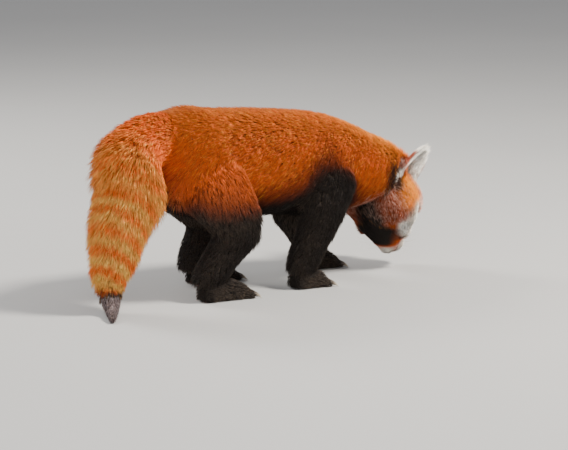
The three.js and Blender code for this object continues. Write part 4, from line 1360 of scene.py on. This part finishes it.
def nose_pad():
    rings = ball_rings(np.zeros(3), np.ones(3), 72, 60)
    points, faces = closed_rings(rings)
    x, y, z = points.T
    # Flatter above, narrower below, and pinched to the sides by the nostrils.
    points = points * [7.0, 9.2, 6.4]
    points[:, 1] *= 1 - 0.28 * step(-z, 0.1, 1.0)
    points[:, 2] *= 1 - 0.15 * step(z, 0.2, 1.0)
    for sign in SIDES.values():
        pit = np.linalg.norm((points - [6.2, 4.3 * sign, -0.6]) / [4.0, 2.3, 2.0], axis=1)
        slit = np.linalg.norm((points - [4.2, 7.2 * sign, -1.6]) / [4.0, 3.0, 1.0], axis=1)
        points[:, 0] -= 3.4 * (1 - step(pit, 0.25, 1.0)) + 1.6 * (1 - step(slit, 0.3, 1.0))
    groove = (1 - step(np.abs(points[:, 1]), 0.2, 1.1)) * step(-points[:, 2], -1.5, 2.5)
    points[:, 0] -= 0.9 * groove * step(points[:, 0], 0, 4)
    return from_head(points @ turn("y", NOSE_TILT).T + NOSE_AT), faces


nose = mesh_object("nose_pad", *nose_pad(), leather_material)
place_piece(nose, "nose_dark", "nose")
print("nose done")

# %% [markdown]
# ## Claws
#
# Five curved, half-drawn claws on each paw, pale at the tip like worn horn. Each is a row of rings
# that shrink along a bend, so that size and bend stay two numbers.

# %% Curve the claws
CLAW_LENGTH = 13.0
CLAW_ROOT, CLAW_TIP = np.array([0.10, 0.075, 0.055]), np.array([0.55, 0.47, 0.36])


def claw(root, heading, size, sides=10, steps=12):
    t = np.linspace(0, 1, steps)[:, None]
    middle = np.concatenate([size * t * math.cos(heading), size * t * math.sin(heading),
                             size * (0.12 * t - 0.62 * t * t)], 1) + root
    r = size * 0.165 * (1 - t) ** 0.75 + 0.12
    angle = around(sides)
    side = np.array([-math.sin(heading), math.cos(heading), 0])
    rings = middle[:, None] + r[..., None] * (
        side * np.cos(angle)[:, None] + np.array([0, 0, 1.35]) * np.sin(angle)[:, None])
    rings[..., 2] = np.maximum(rings[..., 2], 0.15)
    return rings


def claw_set(name):
    axes, toe = paw_frame(name)
    parts, colours = [], []
    for middle, radii, side in toes(name):
        r = radii[1]
        root = np.array([middle[0] + r * 0.7, middle[1] * 1.04, r * 1.05])
        rings = claw(root, side * 0.35, CLAW_LENGTH)
        points, faces = closed_rings(rings @ axes + toe)
        share = np.concatenate([np.repeat(np.linspace(0, 1, len(rings)), rings.shape[1]), [0, 1]])
        colours.append(blend(np.broadcast_to(CLAW_ROOT, points.shape), CLAW_TIP, step(share, 0.2, 1)))
        parts.append((points, faces))
    return parts, colours


horn_material, nodes, links, shader = new_material("panda_horn")
marked_colour(nodes, links, shader, 900, 0.8, 1.15)
shader.inputs["Roughness"].default_value = 0.32
sets = [claw_set(name) for name in LEGS]
claws = mesh_object("claws", *joined([p for parts, _ in sets for p in parts]), horn_material,
                    np.concatenate([c for _, colours in sets for c in colours]))
place_piece(claws, "coat_dark")
print("claws done")

# %% [markdown]
# ## Whiskers and the line of the mouth
#
# Stiff white whiskers stand in rows on the muzzle and sweep back. The mouth is a thin dark line
# where the lips meet, from under the nose back along both sides. Both are slim closed tubes, as
# curves aren't kept.

# %% Set the whiskers
def hair_rod(root, way, bend, length, radius, sides=4, steps=8):
    t = np.linspace(0, 1, steps)[:, None]
    middle = root + way * length * t + bend * length * t * t
    tangent = unit(way + 2 * bend * t)
    across = unit(np.cross(tangent, [0.1, 0.2, 0.97]))
    other = np.cross(tangent, across)
    angle = around(sides)
    r = radius * (1 - t) ** 0.8 + 0.03
    ring = across[:, None] * np.cos(angle)[:, None] + other[:, None] * np.sin(angle)[:, None]
    return middle[:, None] + r[..., None] * ring


def whisker_set():
    parts = []
    for side, sign in SIDES.items():
        for row in range(3):
            for k in range(5):
                root = np.array([62 - 5.5 * k, (10.5 + 1.9 * k) * sign, -7 - 4.0 * row + 0.6 * k])
                way = np.array([0.25 - 0.16 * k, sign * 0.9, 0.12 - 0.22 * row])
                way = unit(way + 0.06 * rng.normal(size=3))
                bend = np.array([-0.34, 0.0, -0.12])
                length = (30 + 5 * k) * (0.85 + 0.3 * rng.random())
                parts.append(closed_rings(from_head(hair_rod(root, way, bend, length, 0.22))))
        for k in range(3):
            root = np.array([17 + 3 * k, (15 + 3 * k) * sign, 33 - 3 * k])
            way = unit(np.array([-0.1, 0.5 * sign, 0.8]) + 0.08 * rng.normal(size=3))
            bend = np.array([-0.35, 0, 0])
            parts.append(closed_rings(from_head(hair_rod(root, way, bend, 22 + 3 * k, 0.17))))
    points, faces = joined(parts)
    points[:, 2] = np.maximum(points[:, 2], FLOOR)
    return points, faces


# %% Finish the whiskers
whisker_material, nodes, links, shader = new_material("panda_whisker")
streak = object_texture(nodes, links, "ShaderNodeTexNoise", 300).outputs["Fac"]
ramped_colour(nodes, links, shader, streak, (0.72, 0.68, 0.62), (0.90, 0.88, 0.84))
shader.inputs["Roughness"].default_value = 0.4
whiskers = mesh_object("whiskers", *whisker_set(), whisker_material)
place_piece(whiskers, "coat_cream")


# %% Lay the line of the mouth
def mouth_line():
    """A thin closed cord laid along the seam of the lips, sunk by half its thickness."""
    t = np.linspace(-1, 1, 61)
    path = np.column_stack([69.5 - 37 * t * t, 27 * t, -20.5 + 2.5 * t * t])
    tree = KDTree(len(skin))
    for i, p in enumerate(skin):
        tree.insert(p, i)
    tree.balance()
    world = from_head(path)
    seat = np.array([skin[tree.find(p)[1]] for p in world])
    for _ in range(6):
        seat[1:-1] = 0.25 * seat[:-2] + 0.5 * seat[1:-1] + 0.25 * seat[2:]
    way = unit(np.gradient(seat, axis=0))
    across = unit(np.cross(way, HEAD_AXES[:, 2]))
    angle = around(8)
    r = (0.9 * (1 - 0.5 * np.abs(t)))[:, None, None]
    return closed_rings(seat[:, None] + r * (across[:, None] * np.cos(angle)[:, None]
                                             + np.cross(way, across)[:, None] * np.sin(angle)[:, None]))


mouth = mesh_object("mouth_line", *mouth_line(), leather_material)
place_piece(mouth, "nose_dark")
print("whiskers and mouth done")

# %% [markdown]
# ## Floor, light and camera
#
# A plain pale floor and wide, soft lights: a warm one high on the right as the sun in the photo, a
# fill from the camera's side, and one behind to catch the edge of the coat. The camera stands where
# the photo was taken from, to the right of the animal and a little behind it.

# %% Lay the floor
def floor_mesh(half=60.0, count=41):
    line = np.linspace(-half, half, count) * 1000
    x, y = np.meshgrid(line, line)
    points = np.stack([x.ravel(), y.ravel(), np.zeros(count * count)], 1)
    a = (np.arange(count - 1)[:, None] * count + np.arange(count - 1)).ravel()
    return points, np.stack([a, a + 1, a + count + 1, a + count], 1)


floor_material, nodes, links, shader = new_material("studio_floor")
cloud = object_texture(nodes, links, "ShaderNodeTexNoise", 2).outputs["Fac"]
ramped_colour(nodes, links, shader, cloud, (0.47, 0.47, 0.465), (0.50, 0.50, 0.495))
shader.inputs["Roughness"].default_value = 0.8
floor = mesh_object("floor", *floor_mesh(), floor_material)
floor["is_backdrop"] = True

# %% Light the studio
world = bpy.data.worlds.new("studio")
world.use_nodes = True
world.node_tree.nodes["Background"].inputs["Color"].default_value = (0.97, 0.97, 1.0, 1)
world.node_tree.nodes["Background"].inputs["Strength"].default_value = 0.5
bpy.context.scene.world = world


def area_light(name, place, size, power, colour):
    data = bpy.data.lights.new(name, "AREA")
    data.shape, data.size, data.energy, data.color = "DISK", size, power, colour
    light = bpy.data.objects.new(name, data)
    light.location = place
    light.rotation_euler = (Vector((0, 0, 0.13)) - Vector(place)).to_track_quat("-Z", "Y").to_euler()
    bpy.context.scene.collection.objects.link(light)


area_light("sun_side", (1.2, -1.3, 2.4), 0.7, 165, (1.0, 0.94, 0.85))
area_light("camera_fill", (-1.8, -2.2, 1.3), 1.6, 30, (0.96, 0.97, 1.0))
area_light("edge", (-0.6, 2.2, 1.8), 1.0, 60, (1.0, 0.96, 0.9))

# %% Place the camera
PHOTO_FRAME = (568, 450)
TARGET = np.array([32.0, -22, 90])
AZIMUTH, ELEVATION, DISTANCE = math.radians(-35), math.radians(10), 3.5
FOCUS_PX = 2345
camera_data = bpy.data.cameras.new("camera")
camera_data.sensor_width = 36
camera_data.lens = 36 * FOCUS_PX / PHOTO_FRAME[0]
camera = bpy.data.objects.new("camera", camera_data)
level = math.cos(ELEVATION)
back = Vector((math.sin(AZIMUTH) * level, -math.cos(AZIMUTH) * level, math.sin(ELEVATION)))
camera.location = Vector(to_frame(TARGET)) + back * DISTANCE
camera.rotation_euler = (-back).to_track_quat("-Z", "Y").to_euler()
bpy.context.scene.collection.objects.link(camera)
bpy.context.scene.camera = camera

# %% Measure the whole
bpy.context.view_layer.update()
boxes = [[round(v, 3) for v in corner] for corner in (*cad_box, *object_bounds())]
print("box of the solids and of the render:", boxes)
